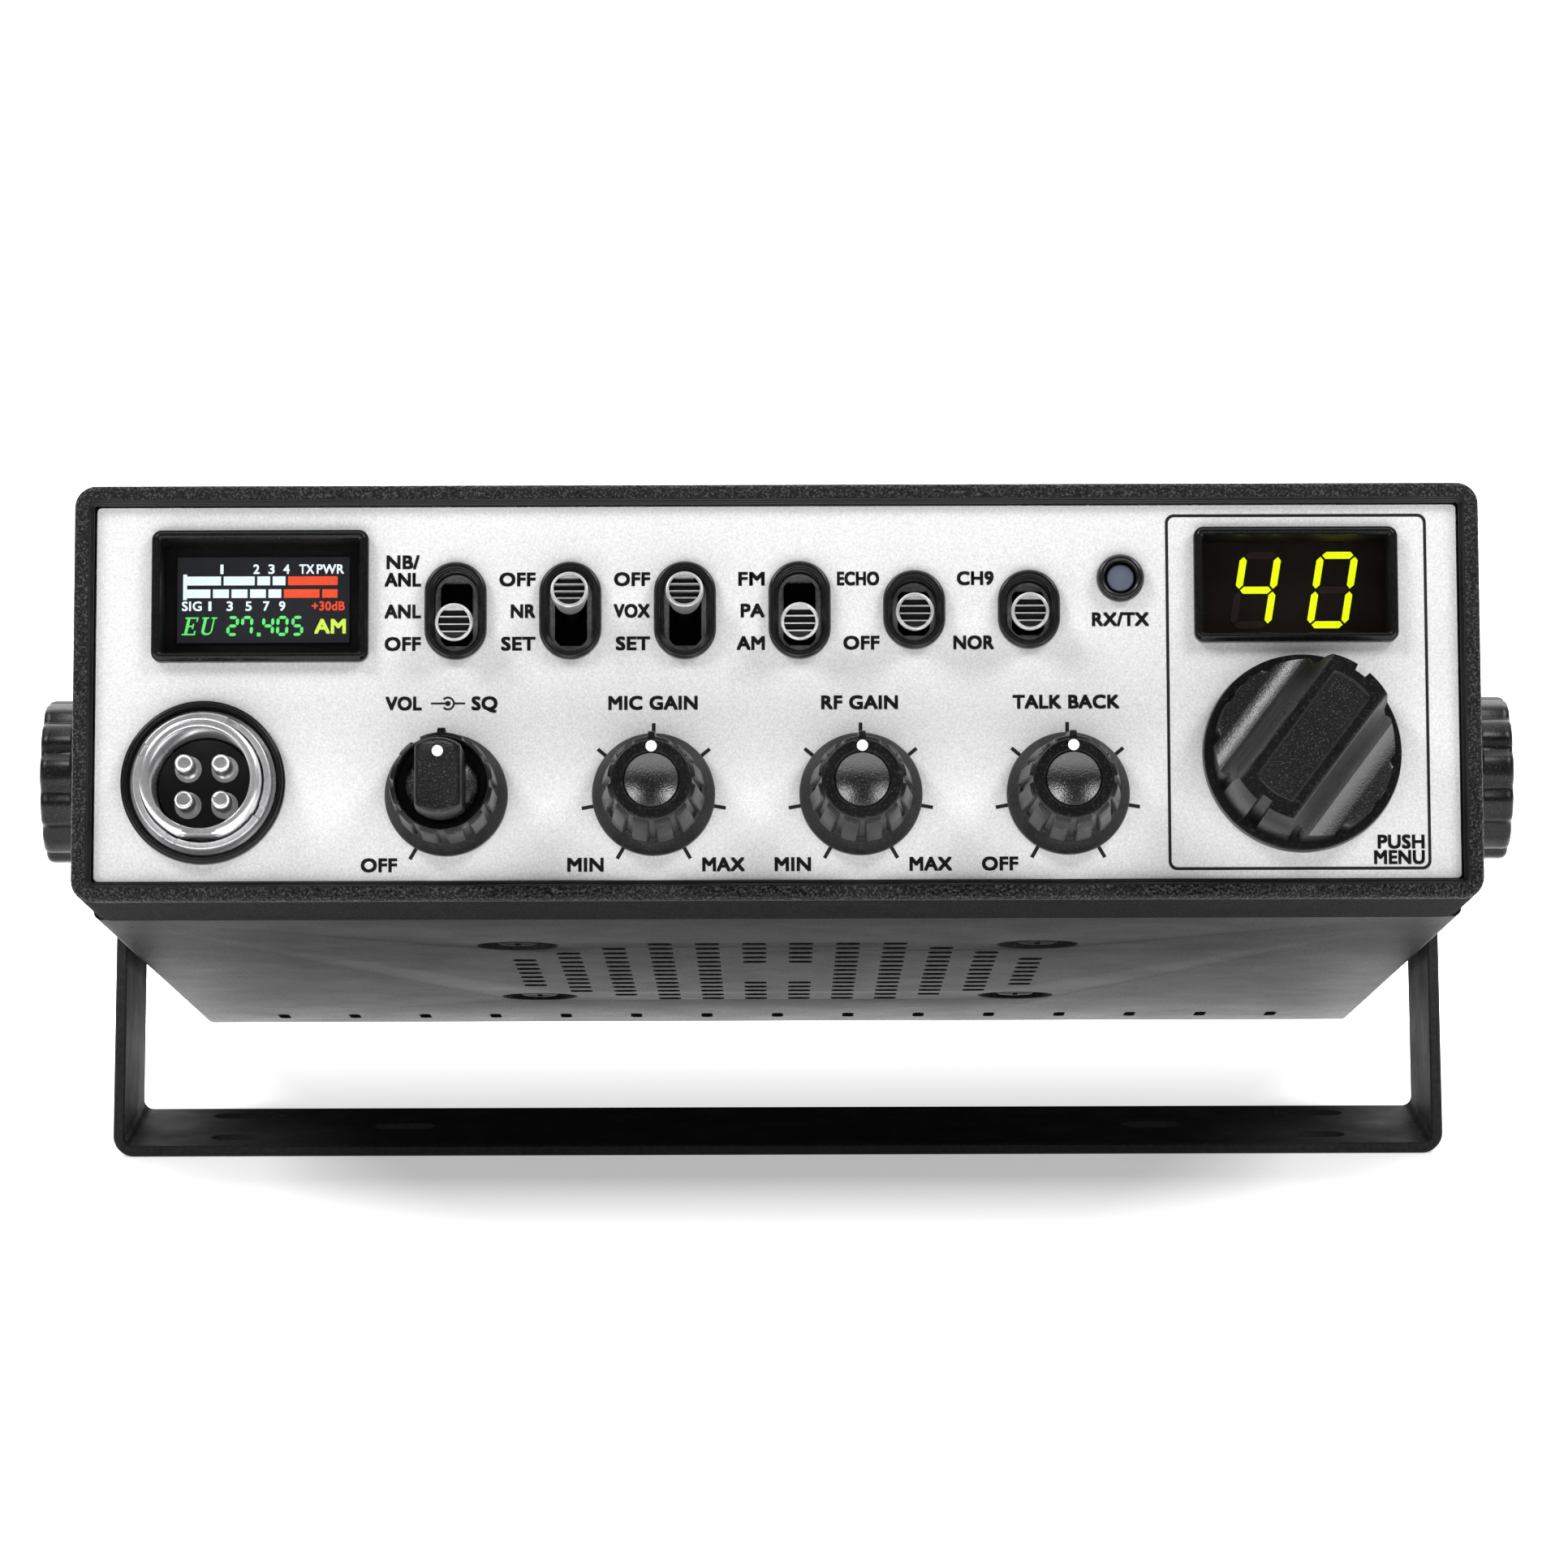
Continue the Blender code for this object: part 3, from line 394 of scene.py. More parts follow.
def leather(name, dark, light, roughness, scale, relief, depth, specular):
    """Black paint or plastic with a pressed leather grain, and light spots in its colour that are partly
    random tone and partly painted glints of the grain.
    """
    material, tree, shader = new_material(name, Specular_IOR_Level=specular)
    skin = cells(tree, scale)
    fine = noise(tree, scale * 4.0, 4.0)
    # Light spots in the colour: partly random tone, partly painted glints of the grain.
    spots_and_glints = span_of(tree, noise(tree, scale * 1.5, 2.0), 0.0, 1.0, 0.5, 0.68)
    tree.links.new(blended(tree, spots_and_glints, dark, light), shader.inputs["Base Color"])
    gloss = span_of(tree, noise(tree, 90.0), roughness - 0.03, roughness + 0.03)
    tree.links.new(gloss, shader.inputs["Roughness"])
    first = bumped(tree, shader, skin, relief, depth)
    bumped(tree, shader, fine, relief * 0.5, depth * 0.3, first)
    return material


def glowing(name, light, strength):
    """A lit area of a display, with the faint grid of its dots."""
    material, tree, shader = new_material(name, Base_Color=colour(tuple(c * 0.2 for c in light)),
                                          Roughness=0.4, Emission_Strength=strength)
    dots = span_of(tree, noise(tree, 5200.0, 1.0), 0.0, 1.0)
    dim = tuple(c * 0.82 for c in light)
    tree.links.new(blended(tree, dots, dim, light), shader.inputs["Emission Color"])
    return material


def window(name, tint, alpha):
    """Clear plastic: mostly seen through, with its own gloss."""
    material, tree, shader = new_material(name, Base_Color=colour(tint), Alpha=alpha)
    tree.links.new(span_of(tree, noise(tree, 300.0), 0.03, 0.07), shader.inputs["Roughness"])
    return material


LEATHER = leather("leather_grain_plastic", 0.003, 0.06, 0.43, 2100.0, 1.0, 0.0003, 0.17)
# A darker, duller copy of the bezel's grain for its sides: painted shade on the strip under the front.
LEATHER_SIDE_PAINTED_SHADE = leather("leather_grain_side_painted_shade", 0.002, 0.02, 0.8, 2100.0, 1.0, 0.0003, 0.04)
CASE_PAINT = leather("leather_grain_paint", 0.003, 0.012, 0.48, 1700.0, 0.8, 0.00012, 0.08)
SMOOTH_BLACK = surface("smooth_black_plastic", 0.005, 0.01, 0.35, relief=0.15, specular=0.35)
GLOSS_BLACK = surface("gloss_black_plastic", 0.004, 0.009, 0.2, relief=0.12, grain=1800.0, spread=0.05,
                      specular=0.2)
TRIM_BLACK = surface("trim_plastic", 0.005, 0.012, 0.24, grain=2600.0, relief=0.3, spread=0.05, specular=0.4)
# The knob plastics' light spots in their colour are partly painted glints.
KNOB_BLACK = surface("knob_plastic", 0.003, 0.035, 0.33, grain=3600.0, relief=0.7, depth=0.00004,
                     specular=0.25, painted_glint_specks=True)
KNOB_ROUGH = surface("knob_plastic_pressed", 0.003, 0.05, 0.24, grain=4200.0, relief=0.9, depth=0.00006,
                     spread=0.05, specular=0.9, painted_glint_specks=True)
BRACKET_BLACK = surface("bracket_paint", 0.015, 0.025, 0.6, grain=1400.0, relief=0.4, depth=0.00005,
                        specular=0.1)
PANEL_SILVER = surface("silver_panel", (0.6, 0.6, 0.603), (0.8, 0.8, 0.803), 0.45, grain=3300.0,
                       relief=0.5, depth=0.00004, blotch=14.0)
PANEL_EDGE = surface("cut_panel_edge", (0.8, 0.8, 0.81), (0.9, 0.9, 0.91), 0.25, metallic=0.9, grain=900.0)
CHROME = surface("bright_plating", (0.82, 0.82, 0.83), (0.96, 0.96, 0.97), 0.24, metallic=0.9, grain=900.0,
                 relief=0.25, depth=0.00008)
SATIN_METAL = surface("satin_plating", (0.5, 0.5, 0.51), (0.66, 0.66, 0.67), 0.4, metallic=0.8, grain=1500.0)
DARK_METAL = surface("dark_plate", 0.16, 0.28, 0.42, metallic=0.4, grain=1800.0, relief=0.3)
ZINC = surface("zinc_plating", (0.19, 0.19, 0.187), (0.25, 0.25, 0.245), 0.5, metallic=0.85, grain=1300.0,
               relief=0.15)
BLACK_ZINC = surface("black_plating", 0.005, 0.01, 0.6, grain=900.0, specular=0.15)
ALUMINIUM = surface("cast_aluminium", (0.26, 0.26, 0.265), (0.38, 0.38, 0.385), 0.5, metallic=0.85,
                    grain=1500.0)
INK = surface("printed_ink", 0.004, 0.01, 0.55, grain=6000.0, relief=0.1, specular=0.3)
WHITE_PAINT = surface("white_dot_paint", (0.85, 0.85, 0.84), (0.95, 0.95, 0.94), 0.4, grain=3000.0)
RUBBER = surface("washer_rubber", 0.01, 0.02, 0.75, grain=1800.0)
PAPER = surface("cone_paper", 0.012, 0.03, 0.9, grain=900.0, relief=0.6, depth=0.0001)
BOARD = surface("circuit_board", (0.01, 0.05, 0.025), (0.02, 0.09, 0.045), 0.4, grain=600.0)
NYLON = surface("white_nylon", (0.6, 0.6, 0.57), (0.72, 0.72, 0.69), 0.45, grain=1200.0)
# Dull near-black: the own black of screens, boards and the levers' inset and rear shafts, and painted shade
# on the display frames' deep inner walls.
DULL_BLACK_AND_SHADE = surface("dull_black_and_painted_shade", 0.002, 0.004, 0.6, grain=3000.0, relief=0.1, specular=0.15)
DARK_FACE = surface("digit_backing", (0.006, 0.003, 0.002), (0.01, 0.005, 0.002), 0.5, grain=3000.0,
                    relief=0.1, specular=0.15)
LAMP_LENS = surface("lamp_lens", (0.085, 0.105, 0.145), (0.105, 0.125, 0.165), 0.35, grain=900.0, relief=0.15)
WINDOW = window("display_window", 0.01, 0.06)


# ---------------------------------------------------------------- layout, from the frame

BEZEL = size("front_bezel")
BEZEL_BACK = span("front_bezel")[1].y
PANEL = size("front_panel")
PANEL_FRONT = span("front_panel")[0].y
PANEL_BACK = span("front_panel")[1].y
TRIM_SEAT = PANEL_FRONT - 0.05  # trims and frames end a hair before the panel
WALL_FRONT, WALL_BACK = 3.0, 5.5
SWITCHES = ["nb", "nr", "vox", "mode", "echo", "ch9"]
GAIN_KNOBS = ["mic_gain_knob", "rf_gain_knob", "talk_back_knob"]
SCREWS = ["bottom_screw_" + end for end in ("left_front", "left_rear", "right_front", "right_rear")]


def oval(width, height, at=(0.0, 0.0), steps=16):
    return rounded(width, height, width / 2, steps, at)


def across(node):
    """A CAD node's middle, and its width and height, seen from the front."""
    middle, extent = centre(node), size(node)
    return (middle.x, middle.z), extent.x, extent.z


def facing(node, turn=0.0):
    """Where a piece drawn round its own axis sits: on the CAD node's middle, seen from the front."""
    (x, z), _, _ = across(node)
    return Matrix.Translation((x, 0, z)) @ Matrix.Rotation(turn, 4, "Y")


def wall_holes():
    """The cut-outs shared by the panel and the wall behind it."""
    holes = []
    for name in SWITCHES:
        at, width, height = across(name + "_switch_trim")
        holes.append(oval(width - 0.6, height - 0.6, at, 8))
    for name in ("tft_frame", "channel_frame"):
        at, width, height = across(name)
        holes.append(rounded(width - 0.9, height - 0.8, 0.6, 2, at))
    for name, radius in (("rx_tx_trim", 2.85), ("mic_shell", 8.3), ("channel_encoder", 4.8)):
        holes.append(circle(radius, 32, across(name)[0]))
    for name in ("volume_squelch_pot", "mic_gain_pot", "rf_gain_pot", "talk_back_pot"):
        holes.append(circle(4.3, 24, across(name)[0]))
    return holes


# ---------------------------------------------------------------- case

def bezel():
    """A deep moulding: grained frame, a smooth step inside it, and the wall with every cut-out."""
    loop = drawn_in(BEZEL.x, BEZEL.z, 2.9, 0.35, 8)
    solid = Solid()
    chamfer = 0.12
    face = soften([(BEZEL_BACK, chamfer), (BEZEL_BACK - chamfer, 0.0), (0.0, 0.0, 0.85), (0.0, 1.95)])
    step = soften([(0.0, 1.95), (0.0, 2.1, 0.1), (0.75, 2.22, 0.15), (0.8, 2.62, 0.12), (WALL_FRONT, 2.68)])
    front_edge = next(i for i, (y, inset) in enumerate(face) if y < 1.0)  # where the rounding starts
    # The sides, back to the front rounding, take the darker copy of the grain: painted shade.
    solid.look = 2
    solid.follow(face[:front_edge + 1], loop)
    solid.look = 0
    solid.follow(face[front_edge:], loop)
    solid.look = 1
    _, wall_edge = solid.follow(step, loop)
    holes = wall_holes()
    solid.cap(WALL_FRONT, wall_edge, *holes)
    for hole in holes:
        solid.skin(WALL_FRONT, hole, WALL_BACK)
    room = rounded(BEZEL.x - 5.0, BEZEL.z - 5.0, 1.5, 4)
    solid.cap(WALL_BACK, room, *holes)
    solid.skin(WALL_BACK, room, BEZEL_BACK)
    solid.cap(BEZEL_BACK, loop(chamfer), room)
    solid.piece("front_bezel", [LEATHER, SMOOTH_BLACK, LEATHER_SIDE_PAINTED_SHADE], "bezel_plastic")


def panel():
    """The silver plate, with a fine bright edge."""
    bright, play = 0.14, 0.1
    loop = drawn_in(PANEL.x - play, PANEL.z - play, 0.7, 0.0, 4)
    solid = Solid()
    holes = wall_holes()
    solid.cap(PANEL_FRONT, loop(bright), *holes)
    solid.cap(PANEL_BACK, loop(0.0), *holes)
    for hole in holes:
        solid.skin(PANEL_FRONT, hole, PANEL_BACK)
    solid.look = 1
    solid.follow([(PANEL_FRONT, bright), (PANEL_FRONT + bright, 0.0), (PANEL_BACK, 0.0)], loop)
    solid.piece("front_panel", [PANEL_SILVER, PANEL_EDGE], "panel_silver")


def cover(name, top):
    """A folded steel cover. The bottom one is punched for the loudspeaker, its screws and the vents."""
    up = 1 if top else -1
    low, high = span(name)
    sheet, corner, bend_steps = 1.0, 1.1, 6
    dish_radius, dish_mouth = 6.0, 7.3
    half_x = high.x
    outer_z = high.z if top else low.z
    overhang = 0.22  # the top cover's edge all but closes the seam
    rim = low.z - overhang if top else high.z
    inner_x, inner_z = half_x - sheet, outer_z - up * sheet
    front, back = low.y, high.y
    solid = Solid("z")
    holes, dishes = ([], []) if top else (grille(), screw_points())
    for hole in holes:
        solid.skin(outer_z, hole, inner_z)
    rise, bore = 1.6, 1.8
    for x, y in dishes:
        outer_side = soften([(outer_z, dish_radius), (outer_z + 0.05, 5.85, 0.3), (outer_z + rise, 5.6, 0.4),
                             (outer_z + rise, bore), (inner_z + rise, bore)])
        inner_side = soften([(inner_z + rise, bore), (inner_z + rise, 6.8, 0.4), (inner_z, dish_mouth)])
        for profile in (outer_side, inner_side):
            solid.follow(profile, lambda radius: circle(radius, 40, (x, y)))

    def flat(half):
        return [(-half, front), (half, front), (half, back), (-half, back)]

    solid.cap(outer_z, flat(half_x - corner), *holes, *[circle(dish_radius, 40, at) for at in dishes])
    solid.cap(inner_z, flat(inner_x), *holes, *[circle(dish_mouth, 40, at) for at in dishes])
    bend = [(half_x - corner + corner * math.sin(a), outer_z - up * corner * (1 - math.cos(a)))
            for a in [math.pi / 2 * i / bend_steps for i in range(bend_steps + 1)]]
    stud = [] if top else [circle(3.4, 24, (centre("left_side_knob").y, 0.0))]
    for side in (-1, 1):
        solid.at = AXES["x"]
        solid.cap(side * half_x, wall(front, back, bend[-1][1], rim), *stud)
        solid.cap(side * inner_x, wall(front, back, inner_z, rim), *stud)
        for hole in stud:
            solid.skin(side * half_x, hole, side * inner_x)
        for (x0, z0), (x1, z1) in zip(bend, bend[1:]):
            solid.face(*[(side * x, y, z) for x, y, z in
                         ((x0, front, z0), (x0, back, z0), (x1, back, z1), (x1, front, z1))])
        solid.face(*[(side * x, y, rim) for x, y in
                     ((half_x, front), (half_x, back), (inner_x, back), (inner_x, front))])
    solid.at = AXES["y"]
    left = [(-inner_x, rim), (-half_x, rim)] + [(-x, z) for x, z in reversed(bend)]
    right = [(-x, z) for x, z in reversed(left)]
    for y in (front, back):
        solid.cap(y, left + right + [(inner_x, inner_z), (-inner_x, inner_z)])
    solid.piece(name, [CASE_PAINT], "case_paint")


def wall(front, back, z0, z1):
    return [(front, z0), (back, z0), (back, z1), (front, z1)]


def screw_points():
    return [(centre(name).x, centre(name).y) for name in SCREWS]


def grille():
    """Twelve columns of punched squares in an octagon, and a row of vents near the back edge."""
    holes = []
    pitch_x, pitch_y, middle = 6.67, 6.6, 103.3
    rows = [14, 14, 14, 12, 10, 7]
    solid_middle = 11.0  # the two inner columns leave out the squares before the magnet
    for column, count in enumerate(rows):
        for side in (-1, 1):
            x = side * pitch_x * (column + 0.5)
            for i in range(count):
                y = (i - (count - 1) / 2) * pitch_y
                if column == 0 and abs(y) < solid_middle:
                    continue
                holes.append(rounded(3.4, 3.1, 0.5, 1, (x, middle + y)))
    vents, vent_pitch, vent_row = 15, 11.3, 176.5
    holes += [rounded(1.8, 7.0, 0.89, 4, ((i - vents // 2) * vent_pitch, vent_row)) for i in range(vents)]
    return holes


def bottom_screws():
    """Black pan heads with a cross recess."""
    top_radius, shank = 2.1, 1.45
    for name in SCREWS:
        low, high = span(name)
        middle = centre(name)
        solid = Solid("z")
        arm, reach, dip = 0.38, 1.75, low.z + 0.9
        cross = [(arm, arm), (arm, reach), (-arm, reach), (-arm, arm), (-reach, arm), (-reach, -arm),
                 (-arm, -arm), (-arm, -reach), (arm, -reach), (arm, -arm), (reach, -arm), (reach, arm)]
        seat = low.z + 1.1
        profile = soften([(low.z, top_radius), (low.z, 2.7, 0.5), (seat - 0.3, 3.2, 0.3), (seat, 3.2),
                          (seat, shank)])
        solid.follow(profile, lambda radius: circle(radius, 40))
        solid.cap(low.z, circle(top_radius, 40), cross)
        solid.skin(low.z, cross, dip)
        solid.cap(dip, cross)
        solid.skin(seat, circle(shank, 40), high.z)
        solid.cap(high.z, circle(shank, 40))
        solid.piece(name, [BLACK_ZINC], "black_zinc", Matrix.Translation((middle.x, middle.y, 0)))


# ---------------------------------------------------------------- stand

def bracket():
    """A steel strip bent into a U, with slots in its base and round-ended arms that lean in."""
    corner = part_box("mounting_bracket")[1] / MM
    half, foot = corner.y, corner.x
    sheet, bend_r, edge, steps = 1.6, 3.0, 0.25, 12
    lean = math.radians(2.0)
    pivot = JOINTS["tilt"]["pos_m"][2] / MM
    bend_x = foot - bend_r * math.cos(lean)  # where the base ends and the bend begins
    flat_angle, flank = -math.pi / 2, half - edge
    # across the strip's thickness: (distance in from the outer face, how far the edge is drawn in)
    layers = [(0.0, edge), (edge, 0.0), (sheet - edge, 0.0), (sheet, edge)]
    solid = Solid("z")

    def at_turn(side, angle, inward, y, up_arm=0.0):
        """A point of the strip where it has turned to this angle: flat_angle in the base, lean in an arm."""
        reach = bend_r - inward
        return (side * (bend_x + reach * math.cos(angle) - up_arm * math.sin(lean)), y,
                bend_r + reach * math.sin(angle) + up_arm * math.cos(lean))

    def stretch(first, second, lines):
        """The faces between two stations (side, angle), along pairs of lines (inward, y) on the strip."""
        for line0, line1 in lines:
            solid.face(at_turn(*first, *line0), at_turn(*second, *line0),
                       at_turn(*second, *line1), at_turn(*first, *line1))

    edges = [((h0, y * (half - i0)), (h1, y * (half - i1)))
             for (h0, i0), (h1, i1) in zip(layers, layers[1:]) for y in (-1, 1)]
    broad = [((inward, -flank), (inward, flank)) for inward in (0.0, sheet)]
    slots = []
    for side in (-1, 1):
        slots.append(rounded(9.0, 4.4, 2.2, 8, (side * 55.5, 0.0)))
        slots.append(rounded(10.2, 4.4, 2.2, 8, (side * 79.5, 8.5)))
        slots.append(rounded(8.0, 4.4, 2.2, 8, (side * 79.5, -8.0)))
    strip = [(-bend_x, -flank), (bend_x, -flank), (bend_x, flank), (-bend_x, flank)]
    solid.cap(0.0, strip, *slots)
    solid.cap(sheet, strip, *slots)
    for slot in slots:
        solid.skin(0.0, slot, sheet)
    stretch((-1, flat_angle), (1, flat_angle), edges)

    along = (pivot - bend_r - (bend_r - sheet / 2) * math.sin(lean)) / math.cos(lean)
    hole = circle(3.1, 32, (0, along))

    def arm(inset):
        return [(-half + inset, 0.0), (half - inset, 0.0)] + arc((0, along), half - inset, 0, math.pi, 40)

    turns = [flat_angle + (lean - flat_angle) * i / steps for i in range(steps + 1)]
    for side in (-1, 1):
        for start, end in zip(turns, turns[1:]):
            stretch((side, start), (side, end), edges + broad)
        solid.at = lambda y, up_arm, inward: at_turn(side, lean, inward, y, up_arm)
        solid.cap(0.0, arm(edge), hole)
        solid.cap(sheet, arm(edge), hole)
        solid.skin(0.0, hole, sheet)
        for (h0, i0), (h1, i1) in zip(layers, layers[1:]):
            outer, inner = arm(i0), arm(i1)
            for k in range(1, len(outer)):
                following = (k + 1) % len(outer)
                quad = ((outer[k], h0), (outer[following], h0), (inner[following], h1), (inner[k], h1))
                solid.face(*[solid.at(*point, h) for point, h in quad])
    place = INTO_RADIO @ Matrix.Scale(MM, 4)
    solid.piece("mounting_bracket", [BRACKET_BLACK], "bracket_paint", place, "bracket")


def side_knobs():
    """Thumb knobs with twelve lobes."""
    for side, word in ((-1, "left"), (1, "right")):
        name = word + "_side_knob"
        low, high = span(name)
        near, far = (low.x, high.x) if side > 0 else (-high.x, -low.x)
        flange, stud, lobes, count = far - 11.2, 2.3, 12, 144
        solid = Solid("x")

        def lobed(radius, dip):
            points = []
            for i in range(count):
                angle = math.tau * i / count
                r = radius - dip * (0.5 - 0.5 * math.cos(lobes * angle)) ** 3
                points.append((r * math.sin(angle), r * math.cos(angle)))
            return points

        steps = [(near, circle(stud, count)), (flange, circle(stud, count))]
        profile = soften([(flange, stud), (flange, 12.3, 0.4), (far - 4.9, 12.3, 0.2), (far - 4.4, 12.0, 0.2),
                          (far - 4.4, 12.0), (far, 12.0, 1.2), (far, 8.5, 0.2), (far - 0.5, 8.2, 0.2),
                          (far - 0.5, 0.5)])
        for x, r in profile:
            dip = 0.9 if x > far - 4.6 and r > 9 else 0.0  # only the grip has lobes
            steps.append((x, lobed(r, dip)))
        solid.cap(*steps[0])
        solid.sides(steps)
        solid.cap(*steps[-1])
        turn = Matrix.Identity(4) if side > 0 else Matrix.Rotation(math.pi, 4, "Z")
        place = Matrix.Translation((0, centre(name).y, centre(name).z)) @ turn
        solid.piece(name, [KNOB_BLACK], "knob_plastic", place, name + "_body")


# ---------------------------------------------------------------- print on the panel

# The width of each printed word, in millimetres
WORD_WIDTHS = {
    "NB/": 4.4, "ANL": 4.85, "OFF": 4.8, "NR": 3.3, "SET": 4.55, "VOX": 4.85, "FM": 3.5, "PA": 3.2,
    "AM": 3.75, "ECHO": 5.6, "CH9": 4.9, "NOR": 5.4, "RX/TX": 7.6, "VOL": 4.8, "SQ": 3.45,
    "MIC GAIN": 11.8, "RF GAIN": 10.15, "TALK BACK": 14.2, "MIN": 4.8, "MAX": 5.65, "PUSH": 6.2, "MENU": 6.7,
}
CAP_HEIGHT = 1.68


def legend(ink, word, x, z, align="CENTER"):
    bold = 0.095
    ink.text(word, x, z, CAP_HEIGHT, WORD_WIDTHS[word], bold, align)


def printing():
    """Legends, dial marks and the border round the channel controls."""
    ink = Drawing(PANEL_FRONT - 0.03)
    line = 0.4
    top, middle, bottom = 15.2, 10.95, 6.6
    columns = [("ANL", "ANL", "OFF"), ("OFF", "NR", "SET"), ("OFF", "VOX", "SET"), ("FM", "PA", "AM"),
               ("ECHO", "", "OFF"), ("CH9", "", "NOR")]
    for name, words in zip(SWITCHES, columns):
        edge = across(name + "_switch_trim")[0][0] - 4.7
        for word, z in zip(words, (top, middle, bottom)):
            if word:
                legend(ink, word, edge, z, "RIGHT")
    legend(ink, "NB/", across("nb_switch_trim")[0][0] - 4.9, top + 2.35, "RIGHT")
    lamp_at = across("rx_tx_trim")[0]
    legend(ink, "RX/TX", lamp_at[0], lamp_at[1] - 5.45)

    above, below = -1.35, -22.85
    volume_at = across("volume_knob")[0]
    legend(ink, "VOL", volume_at[0] - 5.75, above)
    legend(ink, "SQ", volume_at[0] + 4.95, above)
    dial_symbol(ink, (volume_at[0] + 0.1, above))
    dial_marks(ink, volume_at[0], [210])
    legend(ink, "OFF", volume_at[0] - 8.9, below)
    titles = {"mic_gain_knob": ("MIC GAIN", "MIN", "MAX"), "rf_gain_knob": ("RF GAIN", "MIN", "MAX"),
              "talk_back_knob": ("TALK BACK", "OFF", "")}
    for name in GAIN_KNOBS:
        x = across(name)[0][0]
        title, low_word, high_word = titles[name]
        legend(ink, title, x - 0.1, above)
        legend(ink, low_word, x - 9.0, below)
        if high_word:
            legend(ink, high_word, x + 9.2, below)
        dial_marks(ink, x, [0, 50, 100, 150, 210, 260, 310])

    left, right, low, high = 51.7, 85.93, -23.6, 23.5
    middle_of_box = ((left + right) / 2, (low + high) / 2)
    frame_size = (right - left, high - low)
    ink.band(rounded(frame_size[0] + line, frame_size[1] + line, 1.16, 8, middle_of_box),
             rounded(frame_size[0] - line, frame_size[1] - line, 0.84, 8, middle_of_box))
    legend(ink, "PUSH", right - 0.75, low + 3.5, "RIGHT")
    legend(ink, "MENU", right - 0.75, low + 1.45, "RIGHT")
    ink.piece("panel_printing", [INK])


def dial_marks(ink, x, angles):
    """Short radial lines round a knob, at degrees clockwise from the top."""
    z = across("mic_gain_pot")[0][1]
    inner, outer, thick = 7.4, 9.65, 0.48
    for angle in angles:
        ray = (math.sin(math.radians(angle)), math.cos(math.radians(angle)))
        ink.line((x + inner * ray[0], z + inner * ray[1]), (x + outer * ray[0], z + outer * ray[1]), thick)


def dial_symbol(ink, at):
    """A dot inside an open ring, with a line to either side: inner and outer knob."""
    x, z = at
    thick = 0.26
    ink.polygon(circle(0.36, 20, at))
    ink.line((x - 2.25, z), (x, z), thick)
    ink.line((x + 0.85, z), (x + 2.3, z), thick)
    gap = math.radians(42)
    start, end = math.pi + gap, math.pi - gap + math.tau
    ink.band(arc(at, 0.92, start, end, 24), arc(at, 0.92 - thick, start, end, 24), closed=False)


# ---------------------------------------------------------------- displays

def display_frame(name, opening):
    """A proud frame with rounded edges and a deep inner wall in dull near-black, which is painted shade of
    the recess.
    """
    at, width, height = across(name)
    low, high = span(name)
    rim = ((width - opening[0]) + (height - opening[1])) / 4
    loop = drawn_in(width, height, 1.3, 0.3, 6, at)
    seat, front, back = TRIM_SEAT, low.y, high.y
    collar = rim - 0.5
    face = soften([(seat, 0.0), (front + 0.5, 0.0, 0.2), (front + 0.1, 0.42, 0.15), (front, 0.62, 0.1),
                   (front, rim - 0.28, 0.1), (front + 0.3, rim, 0.06), (front + 0.45, rim + 0.02)])
    solid = Solid()
    solid.follow(face, loop)
    # The inner wall and collar are dull near-black: painted shade.
    solid.look = 1
    solid.follow([face[-1], (back, rim + 0.1), (back, collar), (seat, collar), (seat, 0.0)], loop)
    solid.piece(name, [GLOSS_BLACK, DULL_BLACK_AND_SHADE], "trim_plastic")


def display_lens(name):
    at, width, height = across(name)
    low, high = span(name)
    solid = Solid()
    loop = drawn_in(width, height, 0.4, 0.3, 3, at)
    solid.follow([(high.y, 0.0), (low.y + 0.1, 0.0), (low.y, 0.1)], loop, True, True)
    solid.piece(name, [WINDOW], "window")


def module(name, look):
    """A display module: a glass-fronted block with a raised edge."""
    at, width, height = across(name)
    low, high = span(name)
    solid = Solid()
    edge, sunk = 0.8, low.y + 0.25
    loop = drawn_in(width, height, 0.4, 0.3, 3, at)
    solid.follow([(high.y, 0.0), (low.y, 0.0), (low.y, edge), (sunk, edge)], loop, True, True)
    solid.piece(name, [look], "screen")


def seven_segments(drawing, at, width, height, bar, slant, lit, unlit_look=None):
    """One digit. `lit` names the segments a to g that glow."""
    x, z = at
    w, h, t, gap = (width - bar) / 2, (height - bar) / 2, bar / 2, bar * 0.2

    def place(px, pz):
        return (x + px + pz * slant, z + pz)

    def pointed_bar(start, end):
        """A bar with pointed ends that stop short of both corners."""
        a, b = Vector(start), Vector(end)
        along = (b - a).normalized()
        side, tip = Vector((along.y, along.x)) * t, along * t
        a, b = a + along * gap, b - along * gap
        return [a, a + tip + side, b - tip + side, b, b - tip - side, a + tip - side]

    ends = {"a": ((-w, h), (w, h)), "g": ((-w, 0.0), (w, 0.0)), "d": ((-w, -h), (w, -h)),
            "b": ((w, 0.0), (w, h)), "c": ((w, -h), (w, 0.0)), "f": ((-w, 0.0), (-w, h)),
            "e": ((-w, -h), (-w, 0.0))}
    glow = drawing.look
    for key, (start, end) in ends.items():
        if key in lit or unlit_look is not None:
            drawing.look = glow if key in lit else unlit_look
            drawing.polygon([place(*p) for p in pointed_bar(start, end)])
    drawing.look = glow


DIGITS = {"0": "abcdef", "2": "abged", "4": "fgbc", "5": "afgcd", "7": "fabc"}


